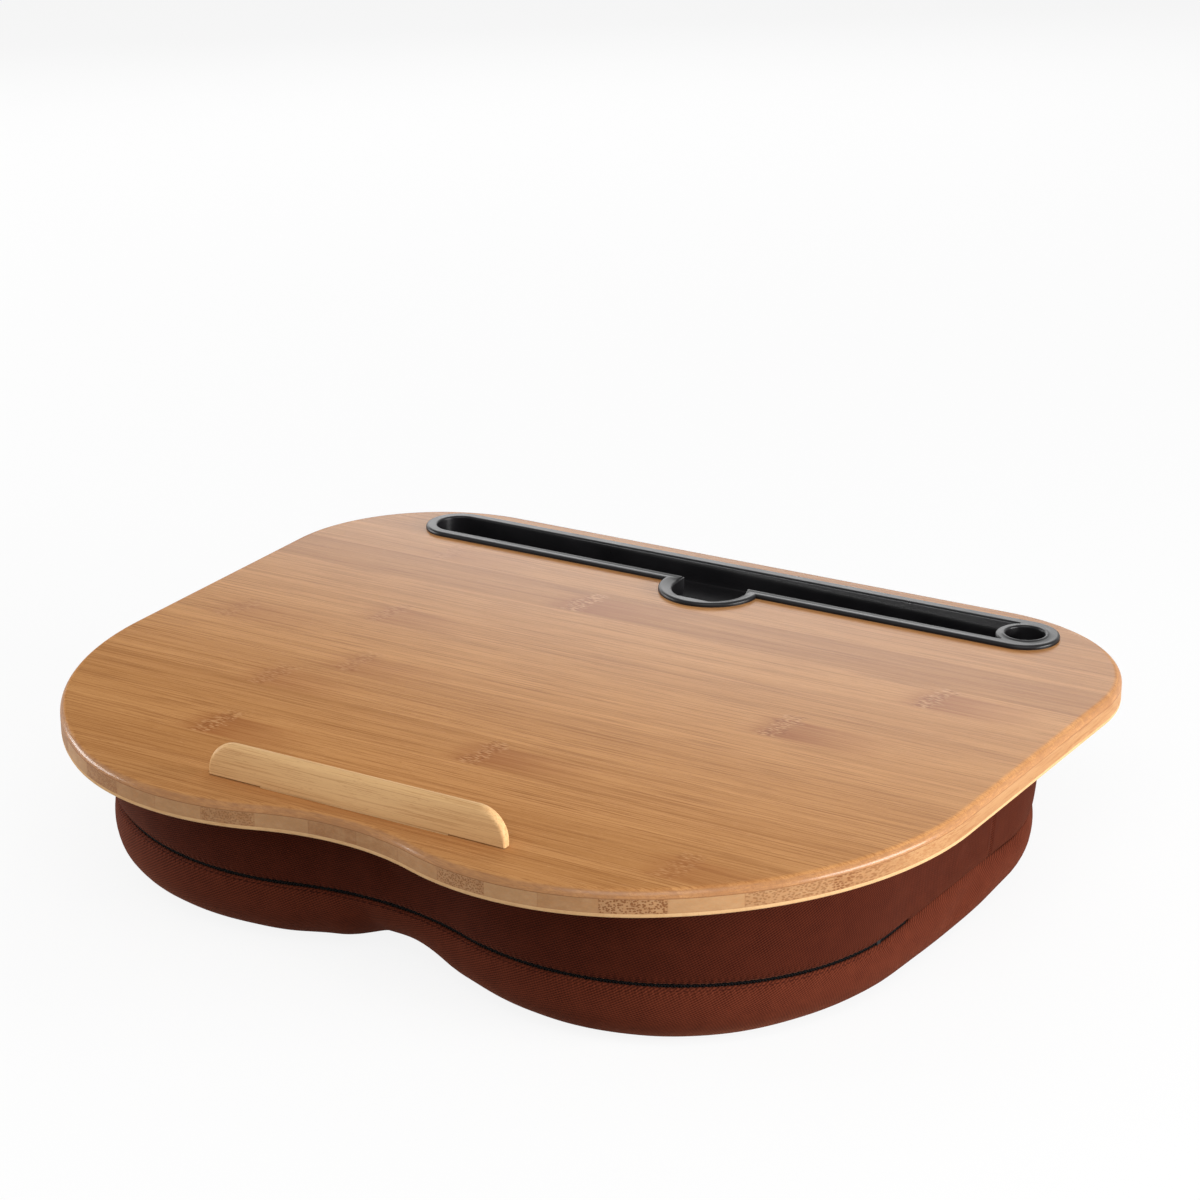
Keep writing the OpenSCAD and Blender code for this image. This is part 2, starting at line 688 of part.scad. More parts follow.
eye_play = 0.2;
eye_wall = 0.65;
module zip_pull() {
    eye_w = ear_gap - 2 * eye_play;
    eye_r = bar_r + bar_fit + eye_wall;
    shank = 3.4;
    hole_r = 1;
    color(dark_metal)
        on_zip(-1, slider_angle)
            translate([bar_x, 0, 0])
                difference() {
                    union() {
                        translate([0, 0, -eye_w / 2])
                            cylinder(r = eye_r, h = eye_w);
                        translate([-pull_t / 2, -shank - 0.5, -eye_w / 2])
                            cube([pull_t, shank + 0.5, eye_w]);
                        translate([-pull_t / 2, -pull_l, -pull_w / 2])
                            cube([pull_t, pull_l - shank, pull_w]);
                    }
                    translate([0, 0, -eye_w])
                        cylinder(r = bar_r + bar_fit, h = 2 * eye_w);
                    translate([-pull_t, -pull_l + 2.4, 0])
                        rotate([0, 90, 0])
                            cylinder(r = hole_r, h = 2 * pull_t);
                }
}

// The pillow inside the cover. off is the depth of its surface under the cover's outside.
pillow_seam_in = 4.2;
pillow_seam_half = 3.4;
crown_in = 22;
hem_clear = cloth_t + wire_t + 0.3;
function pillow_rings(off) =
    let (deep = off - cloth_t - liner_gap)
    let (top = under_z - hem_clear - deep)
    concat(
        [[for (i = coarse) flat_point(i, crown_in + deep, under_z - 0.5 - deep)]],
        [[for (i = coarse) flat_point(i, hem_w + 3 + deep, top)]],
        [[for (i = coarse) flat_point(i, off + 3, top)]],
        [for (s = [0.25, 0.6, 0.85]) [for (i = coarse) band_point(i, s, off)]],
        [for (dz = [1, -1]) [for (i = coarse) seam_point(i, dz * pillow_seam_half, seam_e + pillow_seam_in + deep)]],
        [for (t = [18, 30, 60, 90]) [for (i = coarse) panel_point(i, t, off)]],
        [[for (i = coarse) flat_point(i, seam_in + roll_w + flat_in, off)]]);

module pillow_solid(off) {
    deep = off - cloth_t - liner_gap;
    stack(pillow_rings(off), [0, 0, under_z - 0.5 - deep], [0, 0, off]);
}

module pillow_liner() {
    color(liner_white)
        difference() {
            pillow_solid(cloth_t + liner_gap);
            pillow_solid(cloth_t + liner_gap + liner_t);
        }
}

module bead_fill() {
    color(bead_white) pillow_solid(cloth_t + liner_gap + liner_t + 0.05);
}

module staples() {
    color(staple_steel)
        each_staple()
            union() {
                staple_legs(0);
                translate([-staple_w / 2, -wire_t / 2, -wire_t])
                    cube([staple_w, wire_t, wire_t]);
            }
}

face_ply();
core_strips();
back_ply();
ledge();
slot_insert();
front_band();
rear_band();
bottom_panel();
zip_tape_upper();
zip_tape_lower();
zip_coil_upper();
zip_coil_lower();
zip_stop_left();
zip_stop_right();
zip_slider();
zip_pull();
pillow_liner();
bead_fill();
staples();
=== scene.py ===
"""Looks of the lap desk. Lengths are in millimetres and are scaled to metres on the way into Blender."""

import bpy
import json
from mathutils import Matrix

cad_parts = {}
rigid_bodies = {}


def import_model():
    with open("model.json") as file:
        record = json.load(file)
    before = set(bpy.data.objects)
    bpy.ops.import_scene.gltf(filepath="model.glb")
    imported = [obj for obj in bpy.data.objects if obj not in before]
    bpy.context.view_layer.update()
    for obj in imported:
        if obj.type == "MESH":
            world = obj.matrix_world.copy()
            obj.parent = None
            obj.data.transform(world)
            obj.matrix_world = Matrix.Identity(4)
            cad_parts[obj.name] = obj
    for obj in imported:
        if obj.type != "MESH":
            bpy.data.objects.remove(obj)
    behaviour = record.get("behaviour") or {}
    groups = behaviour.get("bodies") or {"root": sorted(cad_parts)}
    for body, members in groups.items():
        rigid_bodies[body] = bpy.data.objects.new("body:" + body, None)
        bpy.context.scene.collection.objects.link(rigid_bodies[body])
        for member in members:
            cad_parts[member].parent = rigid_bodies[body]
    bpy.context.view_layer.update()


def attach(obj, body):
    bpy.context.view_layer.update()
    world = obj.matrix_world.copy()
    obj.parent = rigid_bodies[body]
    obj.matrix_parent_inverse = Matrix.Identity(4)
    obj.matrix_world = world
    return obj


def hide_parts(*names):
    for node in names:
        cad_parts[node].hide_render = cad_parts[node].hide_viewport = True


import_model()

import json
import math

import bmesh
import bpy
import numpy as np
from mathutils import Vector
from mathutils.geometry import tessellate_polygon

MM = 0.001
SEED = 7
TURN = 2 * math.pi
QUARTER = math.pi / 2

# Sizes that have a name in the part's source have the same value there
# Board: width and depth, the levels of its underside, core, face ply and top, its radii, and the rounding
# of its upper edge
BOARD_W, BOARD_D = 382.0, 324.0
UNDER, CORE, FACE, TOP = 62.5, 64.1, 69.3, 72.5
CORNER_R, LOBE_R, HIP_R, HOLLOW_R = 71, 102, 143, 99
LOBE_X, HIP_TURN = 67.0, math.radians(-56)
TOP_ROUND = 3.2
# Slot insert: half widths are A, the finger hollow is the moon, the pen hole stands in a collar
SLOT_Y, RIM_L, RIM_H = 135.8, 302.0, 1.8
SLOT_A, RIM_A = 10.0, 15.0
MOON_R, MOON_IN = 22.0, 16.0
PEN_X, PEN_R, COLLAR_R = 137.0, 8.0, 12.0
WELL_WALL, WELL_FIT, WELL_FLOOR = 1.6, 0.3, 1.5
# Ledge and the groove that its tenon stands in
LEDGE_Y, LEDGE_L, LEDGE_H, LEDGE_T = -142.805, 126.5, 13.4, 3.8
TENON_L, GROOVE = 80.0, 6.0
# Cushion: how far its edge lies inside the board's sides, back and front, and its radii
PAD_SIDE, PAD_BACK, PAD_FRONT = 20.5, 18.2, 25.3
PAD_CORNER_R, PAD_LOBE_R, PAD_HOLLOW_R, PAD_LOBE_X = 89, 98, 115, 68.0
# Cushion's seam: its level in the middle, its fall to the right, and how the cloth lies at it
SEAM_Z, FALL = 28.5, 0.03
SEAM_IN, SEAM_PULL, SEAM_SOFT = 1.0, 0.9, 1.5
ROLL, HEM = 30.0, 12.0
# Steps along half an outline: hollow, lobe, hip, side, corner and back
BOARD_STEPS = [24, 72, 40, 10, 90, 30]
PAD_STEPS = [72, 528, 0, 66, 120, 40]


# Material helpers
class Tree:
    """Short hands for building a node tree."""

    def __init__(self, nt):
        self.nt = nt

    def node(self, kind, **values):
        n = self.nt.nodes.new(kind)
        for k, v in values.items():
            setattr(n, k, v)
        return n

    def link(self, a, b):
        self.nt.links.new(a, b)

    def put(self, socket, value):
        if isinstance(value, bpy.types.NodeSocket):
            self.link(value, socket)
        else:
            socket.default_value = value

    def math(self, op, a, b=0.0, clamp=False):
        n = self.node("ShaderNodeMath", operation=op, use_clamp=clamp)
        self.put(n.inputs[0], a)
        self.put(n.inputs[1], b)
        return n.outputs[0]

    def most(self, a, b):
        """The larger of two values; the first may be missing."""
        return b if a is None else self.math("MAXIMUM", a, b)

    def swing(self, value, amount):
        """A value from 0 to 1 as a swing of the amount about 0."""
        return self.math("MULTIPLY", self.math("SUBTRACT", value, 0.5), amount)

    def range(self, value, lo, hi, out_lo=0.0, out_hi=1.0, smooth=False):
        n = self.node("ShaderNodeMapRange", interpolation_type="SMOOTHSTEP" if smooth else "LINEAR")
        self.put(n.inputs["Value"], value)
        n.inputs["From Min"].default_value = lo
        n.inputs["From Max"].default_value = hi
        n.inputs["To Min"].default_value = out_lo
        n.inputs["To Max"].default_value = out_hi
        return n.outputs["Result"]

    def split(self, vector):
        n = self.node("ShaderNodeSeparateXYZ")
        self.link(vector, n.inputs[0])
        return n.outputs["X"], n.outputs["Y"], n.outputs["Z"]

    def scaled(self, vector, scale, offset=(0, 0, 0)):
        n = self.node("ShaderNodeMapping")
        self.link(vector, n.inputs["Vector"])
        n.inputs["Scale"].default_value = scale
        n.inputs["Location"].default_value = offset
        return n.outputs["Vector"]

    def noise(self, vector, waves, offset=(0, 0, 0), detail=2.0, rough=0.5, distortion=0.0):
        """Noise with so many waves in a metre along X, Y and Z."""
        place = self.scaled(vector, waves, offset)
        n = self.node("ShaderNodeTexNoise")
        self.link(place, n.inputs["Vector"])
        n.inputs["Scale"].default_value = 1.0
        n.inputs["Detail"].default_value = detail
        n.inputs["Roughness"].default_value = rough
        n.inputs["Distortion"].default_value = distortion
        return n.outputs["Fac"]

    def own_number(self, number, offset):
        """Random value and colour that belong to a whole number."""
        n = self.node("ShaderNodeTexWhiteNoise", noise_dimensions="1D")
        self.link(self.math("ADD", number, offset), n.inputs["W"])
        return n.outputs["Value"], n.outputs["Color"]

    def mix(self, fac, a, b):
        n = self.node("ShaderNodeMix", data_type="RGBA")
        self.put(n.inputs["Factor"], fac)
        self.put(n.inputs[6], a)
        self.put(n.inputs[7], b)
        return n.outputs[2]

    def ramp(self, value, stops):
        n = self.node("ShaderNodeValToRGB")
        self.link(value, n.inputs["Fac"])
        e = n.color_ramp.elements
        while len(e) < len(stops):
            e.new(0.5)
        for el, (p, c) in zip(e, stops):
            el.position = p
            el.color = (*c, 1)
        return n.outputs["Color"]


def group(name, inputs, outputs):
    """An empty shader group with its sockets. Returns the group, its tree helper and its two end nodes."""
    g = bpy.data.node_groups.new(name, "ShaderNodeTree")
    kinds = {"float": "NodeSocketFloat", "vector": "NodeSocketVector", "color": "NodeSocketColor"}
    for n, k, v in inputs:
        s = g.interface.new_socket(n, in_out="INPUT", socket_type=kinds[k])
        if v is not None:
            s.default_value = v
    for n, k in outputs:
        g.interface.new_socket(n, in_out="OUTPUT", socket_type=kinds[k])
    t = Tree(g)
    return g, t, g.nodes.new("NodeGroupInput"), g.nodes.new("NodeGroupOutput")


def material(name):
    mat = bpy.data.materials.new(name)
    mat.use_nodes = True
    nt = mat.node_tree
    nt.nodes.clear()
    out = nt.nodes.new("ShaderNodeOutputMaterial")
    shader = nt.nodes.new("ShaderNodeBsdfPrincipled")
    nt.links.new(shader.outputs[0], out.inputs["Surface"])
    return mat, Tree(nt), shader


def use(t, g, **inputs):
    """Places a shader group in a tree, with its inputs set or linked."""
    n = t.node("ShaderNodeGroup")
    n.node_tree = g
    for k, v in inputs.items():
        t.put(n.inputs[k.replace("_", " ")], v)
    return n


def position(t):
    return t.node("ShaderNodeTexCoord").outputs["Object"]


def plain_gloss(shader, roughness, level, coat=0.0, coat_roughness=0.3):
    shader.inputs["Roughness"].default_value = roughness
    shader.inputs["Specular IOR Level"].default_value = level
    shader.inputs["Coat Weight"].default_value = coat
    shader.inputs["Coat Roughness"].default_value = coat_roughness


def bumped(t, shader, height, strength, distance):
    bump = t.node("ShaderNodeBump")
    bump.inputs["Strength"].default_value = strength
    bump.inputs["Distance"].default_value = distance
    t.link(height, bump.inputs["Height"])
    t.link(bump.outputs[0], shader.inputs["Normal"])


def rays(t, *kinds):
    """1 for a ray of one of the kinds, 0 for any other."""
    path = t.node("ShaderNodeLightPath")
    share = None
    for kind in kinds:
        share = t.most(share, path.outputs[kind])
    return share


def two_shaders(t, share, first, second, out):
    mix = t.node("ShaderNodeMixShader")
    t.link(share, mix.inputs["Fac"])
    t.link(first.outputs[0], mix.inputs[1])
    t.link(second.outputs[0], mix.inputs[2])
    t.link(mix.outputs[0], out.inputs["Surface"])


# Camera, lights and stage: metres and watts, but millimetres for the sensor and the lens
VIEW_TURN, VIEW_RISE, VIEW_DISTANCE = math.radians(30.484), math.radians(20.229), 1.24569
VIEW_TARGET = (-0.03367, 0.08621, 0.0725)
SENSOR, LENS = 36.0, 89.157
LIT_POINT = (0, 0, 0.05)
# Name, place, width and height, power
LIGHTS = [
    ("high front", (0.55, -0.90, 1.10), (1.2, 0.9), 13),
    ("right", (1.47, 0.22, 0.27), (1.0, 0.4), 36),
    ("left", (-1.44, -0.30, 0.22), (1.0, 0.35), 16),
    ("sheen", (-1.20, 1.30, 0.60), (2.2, 0.34), 8),
    ("back", (-0.5, 1.5, 1.1), (1.2, 0.8), 5),
]
WHITE = (1, 1, 1, 1)
WORLD_LIGHT, WORLD_SEEN = 0.28, 1.0
FLOOR_HALF = 6.0
FLOOR_LIT, FLOOR_BOUNCE = (0.8, 0.8, 0.8, 1), (0.68, 0.68, 0.68, 1)
FLOOR_GLOW = 0.88


def aim(obj, target):
    obj.rotation_mode = "QUATERNION"
    obj.rotation_quaternion = (Vector(target) - obj.location).to_track_quat("-Z", "Y")


def make_camera():
    target = Vector(VIEW_TARGET)
    level = math.cos(VIEW_RISE)
    back = Vector((math.sin(VIEW_TURN) * level, -math.cos(VIEW_TURN) * level, math.sin(VIEW_RISE)))
    data = bpy.data.cameras.new("camera")
    data.sensor_width = SENSOR
    data.lens = LENS
    data.clip_start, data.clip_end = 0.05, 50.0
    cam = bpy.data.objects.new("camera", data)
    bpy.context.scene.collection.objects.link(cam)
    cam.location = target + back * VIEW_DISTANCE
    aim(cam, target)
    bpy.context.scene.camera = cam


def area_light(name, place, size, power):
    data = bpy.data.lights.new(name, "AREA")
    data.shape = "RECTANGLE"
    data.size, data.size_y = size
    data.energy = power
    obj = bpy.data.objects.new(name, data)
    bpy.context.scene.collection.objects.link(obj)
    obj.location = place
    aim(obj, LIT_POINT)


def make_world():
    """Dim even light on the object, and a white background where it is seen, mirrored or looked through."""
    world = bpy.data.worlds.new("studio")
    bpy.context.scene.world = world
    world.use_nodes = True
    world.node_tree.nodes.clear()
    t = Tree(world.node_tree)
    out = t.node("ShaderNodeOutputWorld")
    dim, seen = t.node("ShaderNodeBackground"), t.node("ShaderNodeBackground")
    for shader, strength in ((dim, WORLD_LIGHT), (seen, WORLD_SEEN)):
        shader.inputs["Color"].default_value = WHITE
        shader.inputs["Strength"].default_value = strength
    share = rays(t, "Is Camera Ray", "Is Glossy Ray", "Is Transmission Ray")
    two_shaders(t, share, dim, seen, out)


def make_floor():
    """Pale floor that keeps the object's shadow: a share of it glows white where it is seen or mirrored."""
    mesh = bpy.data.meshes.new("floor")
    r = FLOOR_HALF
    mesh.from_pydata([(-r, -r, 0), (r, -r, 0), (r, r, 0), (-r, r, 0)], [], [(0, 1, 2, 3)])
    floor = bpy.data.objects.new("floor", mesh)
    bpy.context.scene.collection.objects.link(floor)
    mat = bpy.data.materials.new("floor")
    mat.use_nodes = True
    mat.node_tree.nodes.clear()
    t = Tree(mat.node_tree)
    out = t.node("ShaderNodeOutputMaterial")
    lit = t.node("ShaderNodeBsdfDiffuse")
    t.link(t.mix(rays(t, "Is Diffuse Ray"), FLOOR_LIT, FLOOR_BOUNCE), lit.inputs["Color"])
    glow = t.node("ShaderNodeEmission")
    glow.inputs["Strength"].default_value = 1.0
    share = t.math("MULTIPLY", rays(t, "Is Camera Ray", "Is Glossy Ray"), FLOOR_GLOW)
    two_shaders(t, share, lit, glow, out)
    mesh.materials.append(mat)


make_camera()
make_world()
make_floor()
for light_name, light_place, light_size, light_power in LIGHTS:
    area_light(light_name, light_place, light_size, light_power)
bpy.context.scene.view_settings.view_transform = "Standard"


# Outlines: rows of x and y, or of x, y and the outward normal
def unit(a):
    return np.array([math.cos(a), math.sin(a)])


def arc(c, r, a0, a1, steps, first, side=1.0):
    """Rows on an arc, from step number first on. Side -1 turns the normals to the arc's centre."""
    rows = []
    for i in range(first, steps + 1):
        a = a0 + (a1 - a0) * i / steps
        cos, sin = math.cos(a), math.sin(a)
        rows.append([c[0] + r * cos, c[1] + r * sin, side * cos, side * sin])
    return rows


def straight(p, q, n, steps):
    """Rows from p to q without p itself, all with the normal n."""
    return [[p[0] + (q[0] - p[0]) * i / steps, p[1] + (q[1] - p[1]) * i / steps, n[0], n[1]]
            for i in range(1, steps + 1)]


def turned(c, r, angles):
    """Points on a circle at the given angles."""
    return [(c[0] + r * math.cos(a), c[1] + r * math.sin(a)) for a in angles]


def kidney(corner, cr, hip, hr, join, lobe, lr, nr, counts):
    """Closed kidney outline with outward normals, anticlockwise from the middle of the front hollow."""
    ny = lobe[1] - math.sqrt((lr + nr) ** 2 - lobe[0] ** 2)
    an = math.atan2(lobe[1] - ny, lobe[0])
    d = np.array(corner) - np.array(hip)
    side = math.atan2(d[1], d[0]) - math.acos((hr - cr) / np.linalg.norm(d))
    end = join if counts[2] else side
    out = unit(side)
    half = arc((0, ny), nr, QUARTER, an, counts[0], 0, -1.0)
    half += arc(lobe, lr, an - math.pi, end, counts[1], 1)
    if counts[2]:
        half += arc(hip, hr, join, side, counts[2], 1)
    half += straight(np.array(hip) + hr * out, np.array(corner) + cr * out, out, counts[3])
    half += arc(corner, cr, side, QUARTER, counts[4], 1)
    half += straight((corner[0], corner[1] + cr), (0, corner[1] + cr), (0, 1), counts[5])
    half = np.array(half)
    other = half[1:-1][::-1] * np.array([-1, 1, -1, 1])
    return np.vstack([half, other])


board_corner = (BOARD_W / 2 - CORNER_R, BOARD_D / 2 - CORNER_R)
board_lobe = np.array([LOBE_X, LOBE_R - BOARD_D / 2])
board_hip = board_lobe - (HIP_R - LOBE_R) * unit(HIP_TURN)
board_line = kidney(board_corner, CORNER_R, board_hip, HIP_R, HIP_TURN, board_lobe, LOBE_R, HOLLOW_R,
                    BOARD_STEPS)

pad_corner = (BOARD_W / 2 - PAD_SIDE - PAD_CORNER_R, BOARD_D / 2 - PAD_BACK - PAD_CORNER_R)
pad_lobe = np.array([PAD_LOBE_X, PAD_LOBE_R + PAD_FRONT - BOARD_D / 2])
pad_line = kidney(pad_corner, PAD_CORNER_R, pad_lobe, PAD_LOBE_R, 0, pad_lobe, PAD_LOBE_R, PAD_HOLLOW_R,
                  PAD_STEPS)


def inset(line, e):
    return line[:, :2] - line[:, 2:] * e


def moon_and_end(a, m, cut, end_steps, moon_steps):
    """The slot's left end and the half-moon in front of it, about the slot's middle."""
    left = (-(RIM_L / 2 - RIM_A), 0)
    pts = turned(left, a, np.linspace(QUARTER, 3 * QUARTER, end_steps))
    return pts + turned((0, -RIM_A), m, np.linspace(math.pi - cut, TURN + cut, moon_steps))


def slot_outline(a, m, steps=(40, 40, 60)):
    """Stadium of half width a, joined to the half-moon of radius m on its front side."""
    cut = math.asin(max(0.0, RIM_A - a) / m)
    pts = turned((RIM_L / 2 - RIM_A, 0), a, np.linspace(-QUARTER, QUARTER, steps[0]))
    pts += moon_and_end(a, m, cut, steps[1], steps[2])
    return np.array(pts) + np.array([0, SLOT_Y])


def well_outline(e, steps=(30, 6, 40, 60)):
    """The slot's opening grown by e. At the right it ends against the collar of the pen hole."""
    a, m, collar = SLOT_A + e, MOON_IN + e, COLLAR_R - e
    cut = math.asin((RIM_A - a) / m)
    turn = math.asin(SLOT_A / COLLAR_R) if e > 0 else math.asin(a / collar)
    nook = (PEN_X - math.sqrt(COLLAR_R ** 2 - SLOT_A ** 2), SLOT_A)
    pts = turned((PEN_X, 0), collar, np.linspace(math.pi + turn, math.pi - turn, steps[0]))
    if e > 0:
        upper = turned(nook, e, np.linspace(-turn, QUARTER, steps[1] + 1)[1:])
    else:
        upper = [pts[-1]] * steps[1]
    pts += upper
    pts += moon_and_end(a, m, cut, steps[2], steps[3])
    pts += [(x, -y) for x, y in upper[::-1]]
    return np.array(pts) + np.array([0, SLOT_Y])


def circle(c, r, steps=64):
    return np.array(turned(c, r, np.linspace(0, TURN, steps, endpoint=False)))


def rectangle(x0, x1, y0, y1):
    return np.array([(x0, y0), (x1, y0), (x1, y1), (x0, y1)], float)


# Mesh helpers
def weld(mesh):
    """Joins points that fall together, so no face is left without an area."""
    bm = bmesh.new()
    bm.from_mesh(mesh)
    bmesh.ops.remove_doubles(bm, verts=bm.verts, dist=1e-6)
    bm.to_mesh(mesh)
    bm.free()


def linked(name, mesh):
    obj = bpy.data.objects.new(name, mesh)
    bpy.context.scene.collection.objects.link(obj)
    return obj


class Build:
    """Collects rings of points and the faces between them."""

    def __init__(self):
        self.verts, self.faces = [], []

    def points(self, xyz):
        start = len(self.verts)
        self.verts += [(x * MM, y * MM, z * MM) for x, y, z in xyz]
        return list(range(start, len(self.verts)))

    def ring(self, xy, z):
        z = np.broadcast_to(z, (len(xy),))
        return self.points([(p[0], p[1], h) for p, h in zip(xy, z)])

    def wall(self, upper, lower):
        n = len(upper)
        for i in range(n):
            k = (i + 1) % n
            self.faces.append((upper[i], lower[i], lower[k], upper[k]))

    def walls(self, rings, inward=False):
        for a, b in zip(rings, rings[1:]):
            if inward:
                self.wall(b, a)
            else:
                self.wall(a, b)

    def cap(self, loops, up=True):
        """Fills between an outer loop and its holes, all level."""
        ids = [i for loop in loops for i in loop]
        tris = tessellate_polygon([[Vector((*self.verts[i][:2], 0)) for i in loop] for loop in loops])
        for t in tris:
            a, b, c = (ids[i] for i in t)
            pa, pb, pc = (Vector(self.verts[i]) for i in (a, b, c))
            if ((pb - pa).cross(pc - pa).z > 0) != up:
                b, c = c, b
            self.faces.append((a, b, c))

    def object(self, name, mat, angle=35):
        mesh = bpy.data.meshes.new(name)
        mesh.from_pydata(self.verts, [], self.faces)
        weld(mesh)
        mesh.shade_smooth()
        mesh.set_sharp_from_angle(angle=math.radians(angle))
        obj = linked(name, mesh)
        mesh.materials.append(mat)
        return obj


def rounded(r, steps, z_top):
    """Insets and heights of a quarter round, from the flat on top to the upright side."""
    return [(r * (1 - math.cos(a)), z_top - r * (1 - math.sin(a)))
            for a in np.linspace(QUARTER, 0, steps + 1)]


# Bamboo
# Width of the face's slats and the middle of one, width of the core's strips and an edge of one
SLAT, SLAT_MIDDLE = 26.0, 2.9
STRIP, STRIP_EDGE = 20.0, 7.0
# Colours of the face ply
SLAT_DARK, SLAT_LIGHT = (0.335, 0.140, 0.042, 1), (0.575, 0.290, 0.112, 1)
# The pale fleck colour is a painted glint of light on the grain.
LINE_BROWN, PAINTED_GLINT = (0.25, 0.095, 0.030, 1), (0.74, 0.46, 0.24, 1)
TRAIL_BROWN, KNOT_BROWN = (0.30, 0.105, 0.034, 1), (0.36, 0.145, 0.055, 1)
KNOT_LIGHT, KNOT_DARK = (0.66, 0.39, 0.18, 1), (0.20, 0.070, 0.022, 1)
ROUND_BROWN, GLUE_BROWN = (0.27, 0.130, 0.058, 1), (0.16, 0.060, 0.022, 1)
# Colours of the core
LONG_DARK, LONG_LIGHT = (0.30, 0.142, 0.055, 1), (0.46, 0.27, 0.125, 1)
STRIP_TONES = [(0.0, (0.25, 0.118, 0.048)), (0.3, (0.30, 0.157, 0.070)), (0.55, (0.36, 0.205, 0.096)),
               (0.8, (0.33, 0.178, 0.080)), (1.0, (0.27, 0.134, 0.056))]
END_PALE, END_FIBRE, END_DOT = (0.48, 0.30, 0.155, 1), (0.42, 0.19, 0.07, 1), (0.17, 0.062, 0.020, 1)
STRIP_GAP, CORE_GLUE = (0.20, 0.08, 0.03, 1), (0.22, 0.09, 0.035, 1)
# Colours of the ledge and of the back ply, dark and light, and of the lines in both
LEDGE_DARK, LEDGE_LIGHT = (0.53, 0.30, 0.130, 1), (0.71, 0.46, 0.225, 1)
BACK_DARK, BACK_LIGHT = (0.44, 0.25, 0.110, 1), (0.60, 0.39, 0.205, 1)
PALE_LINE = (0.36, 0.165, 0.055, 1)
# Nodes of the bamboo on the face ply: place and strength
KNOTS = [((-38, 80.9), 1.0), ((-101, 28.9), 0.5), ((-81, -23.1), 0.5), ((-102, -51), 0.55),
         ((-91, -101.1), 0.85), ((12, -75.1), 0.8), ((95, 2.9), 1.0), ((133.5, 57), 1.0),
         ((121, -124), 0.5), ((-120, 106.9), 0.4), ((-158, 2.9), 0.4)]
# Core strips that show clear end-grain dots, by the middle of the strip, and how strongly
DOTTED = [(-43, 0.55), (57, 0.75), (117, 1.0), (177, 1.0), (157, 0.6), (-103, 0.5), (-163, 0.7)]


def lanes(t, value, pitch, start):
    """Number of the slat a point lies in, and its place across that slat, -0.5 to 0.5."""
    share = t.math("ADD", t.math("DIVIDE", t.math("SUBTRACT", value, start), pitch), 0.5)
    return t.math("FLOOR", share), t.math("SUBTRACT", t.math("FRACT", share), 0.5)


def make_grain_group():
    """Bamboo slats side by side across local Y, their grain along X. Vector is in metres."""
    g, t, gin, gout = group("Bamboo grain",
                            [("Vector", "vector", None), ("Slat", "float", SLAT * MM),
                             ("Dark", "color", SLAT_DARK), ("Light", "color", SLAT_LIGHT),
                             ("Line", "color", LINE_BROWN), ("Contrast", "float", 1.0),
                             ("Lines", "float", 1.0)],
                            [("Color", "color"), ("Height", "float")])
    v, line, lines = gin.outputs["Vector"], gin.outputs["Line"], gin.outputs["Lines"]
    _, y, _ = t.split(v)
    lane, place = lanes(t, y, gin.outputs["Slat"], SLAT_MIDDLE * MM)
    shade, jumps = t.own_number(lane, 0.37)
    jump = t.node("ShaderNodeVectorMath", operation="MULTIPLY_ADD")
    t.link(jumps, jump.inputs[0])
    jump.inputs[1].default_value = (2.0, 0.3, 0.3)
    t.link(v, jump.inputs[2])
    own = jump.outputs[0]
    broad = t.noise(own, (2.2, 90, 90), distortion=0.2)
    middle = t.noise(own, (5.0, 330, 330), (3, 1, 2))
    coarse = t.noise(own, (13, 1050, 1050), (1, 4, 2), detail=1.0)
    fine = t.noise(own, (24, 2300, 2300), (5, 2, 7), rough=0.6)
    pores = t.noise(own, (330, 2600, 2600), (1, 9, 4), detail=1.0)
    tone = t.swing(shade, 0.42)
    tone = t.math("ADD", tone, t.swing(broad, 0.9))
    tone = t.math("ADD", tone, t.swing(middle, 0.55))
    tone = t.math("ADD", t.math("MULTIPLY", tone, gin.outputs["Contrast"]), 0.52)
    tone = t.math("ADD", tone, t.swing(fine, 0.45), True)
    colour = t.mix(tone, gin.outputs["Dark"], gin.outputs["Light"])
    colour = t.mix(t.math("MULTIPLY", t.range(coarse, 0.56, 0.61, 0.0, 0.34), lines), colour, line)
    colour = t.mix(t.math("MULTIPLY", t.range(fine, 0.54, 0.61, 0.0, 0.58), lines), colour, line)
    colour = t.mix(t.range(pores, 0.64, 0.72, 0.0, 0.30), colour, line)
    # Pale flecks among the pores: painted glints of light.
    colour = t.mix(t.range(pores, 0.34, 0.26, 0.0, 0.14), colour, PAINTED_GLINT)
    joint = t.range(t.math("ABSOLUTE", place), 0.490, 0.497, 0.0, 0.20)
    colour = t.mix(joint, colour, line)
    height = t.math("SUBTRACT", t.math("MULTIPLY", fine, 0.6), t.math("MULTIPLY", pores, 0.3))
    t.link(colour, gout.inputs["Color"])
    t.link(height, gout.inputs["Height"])
    return g


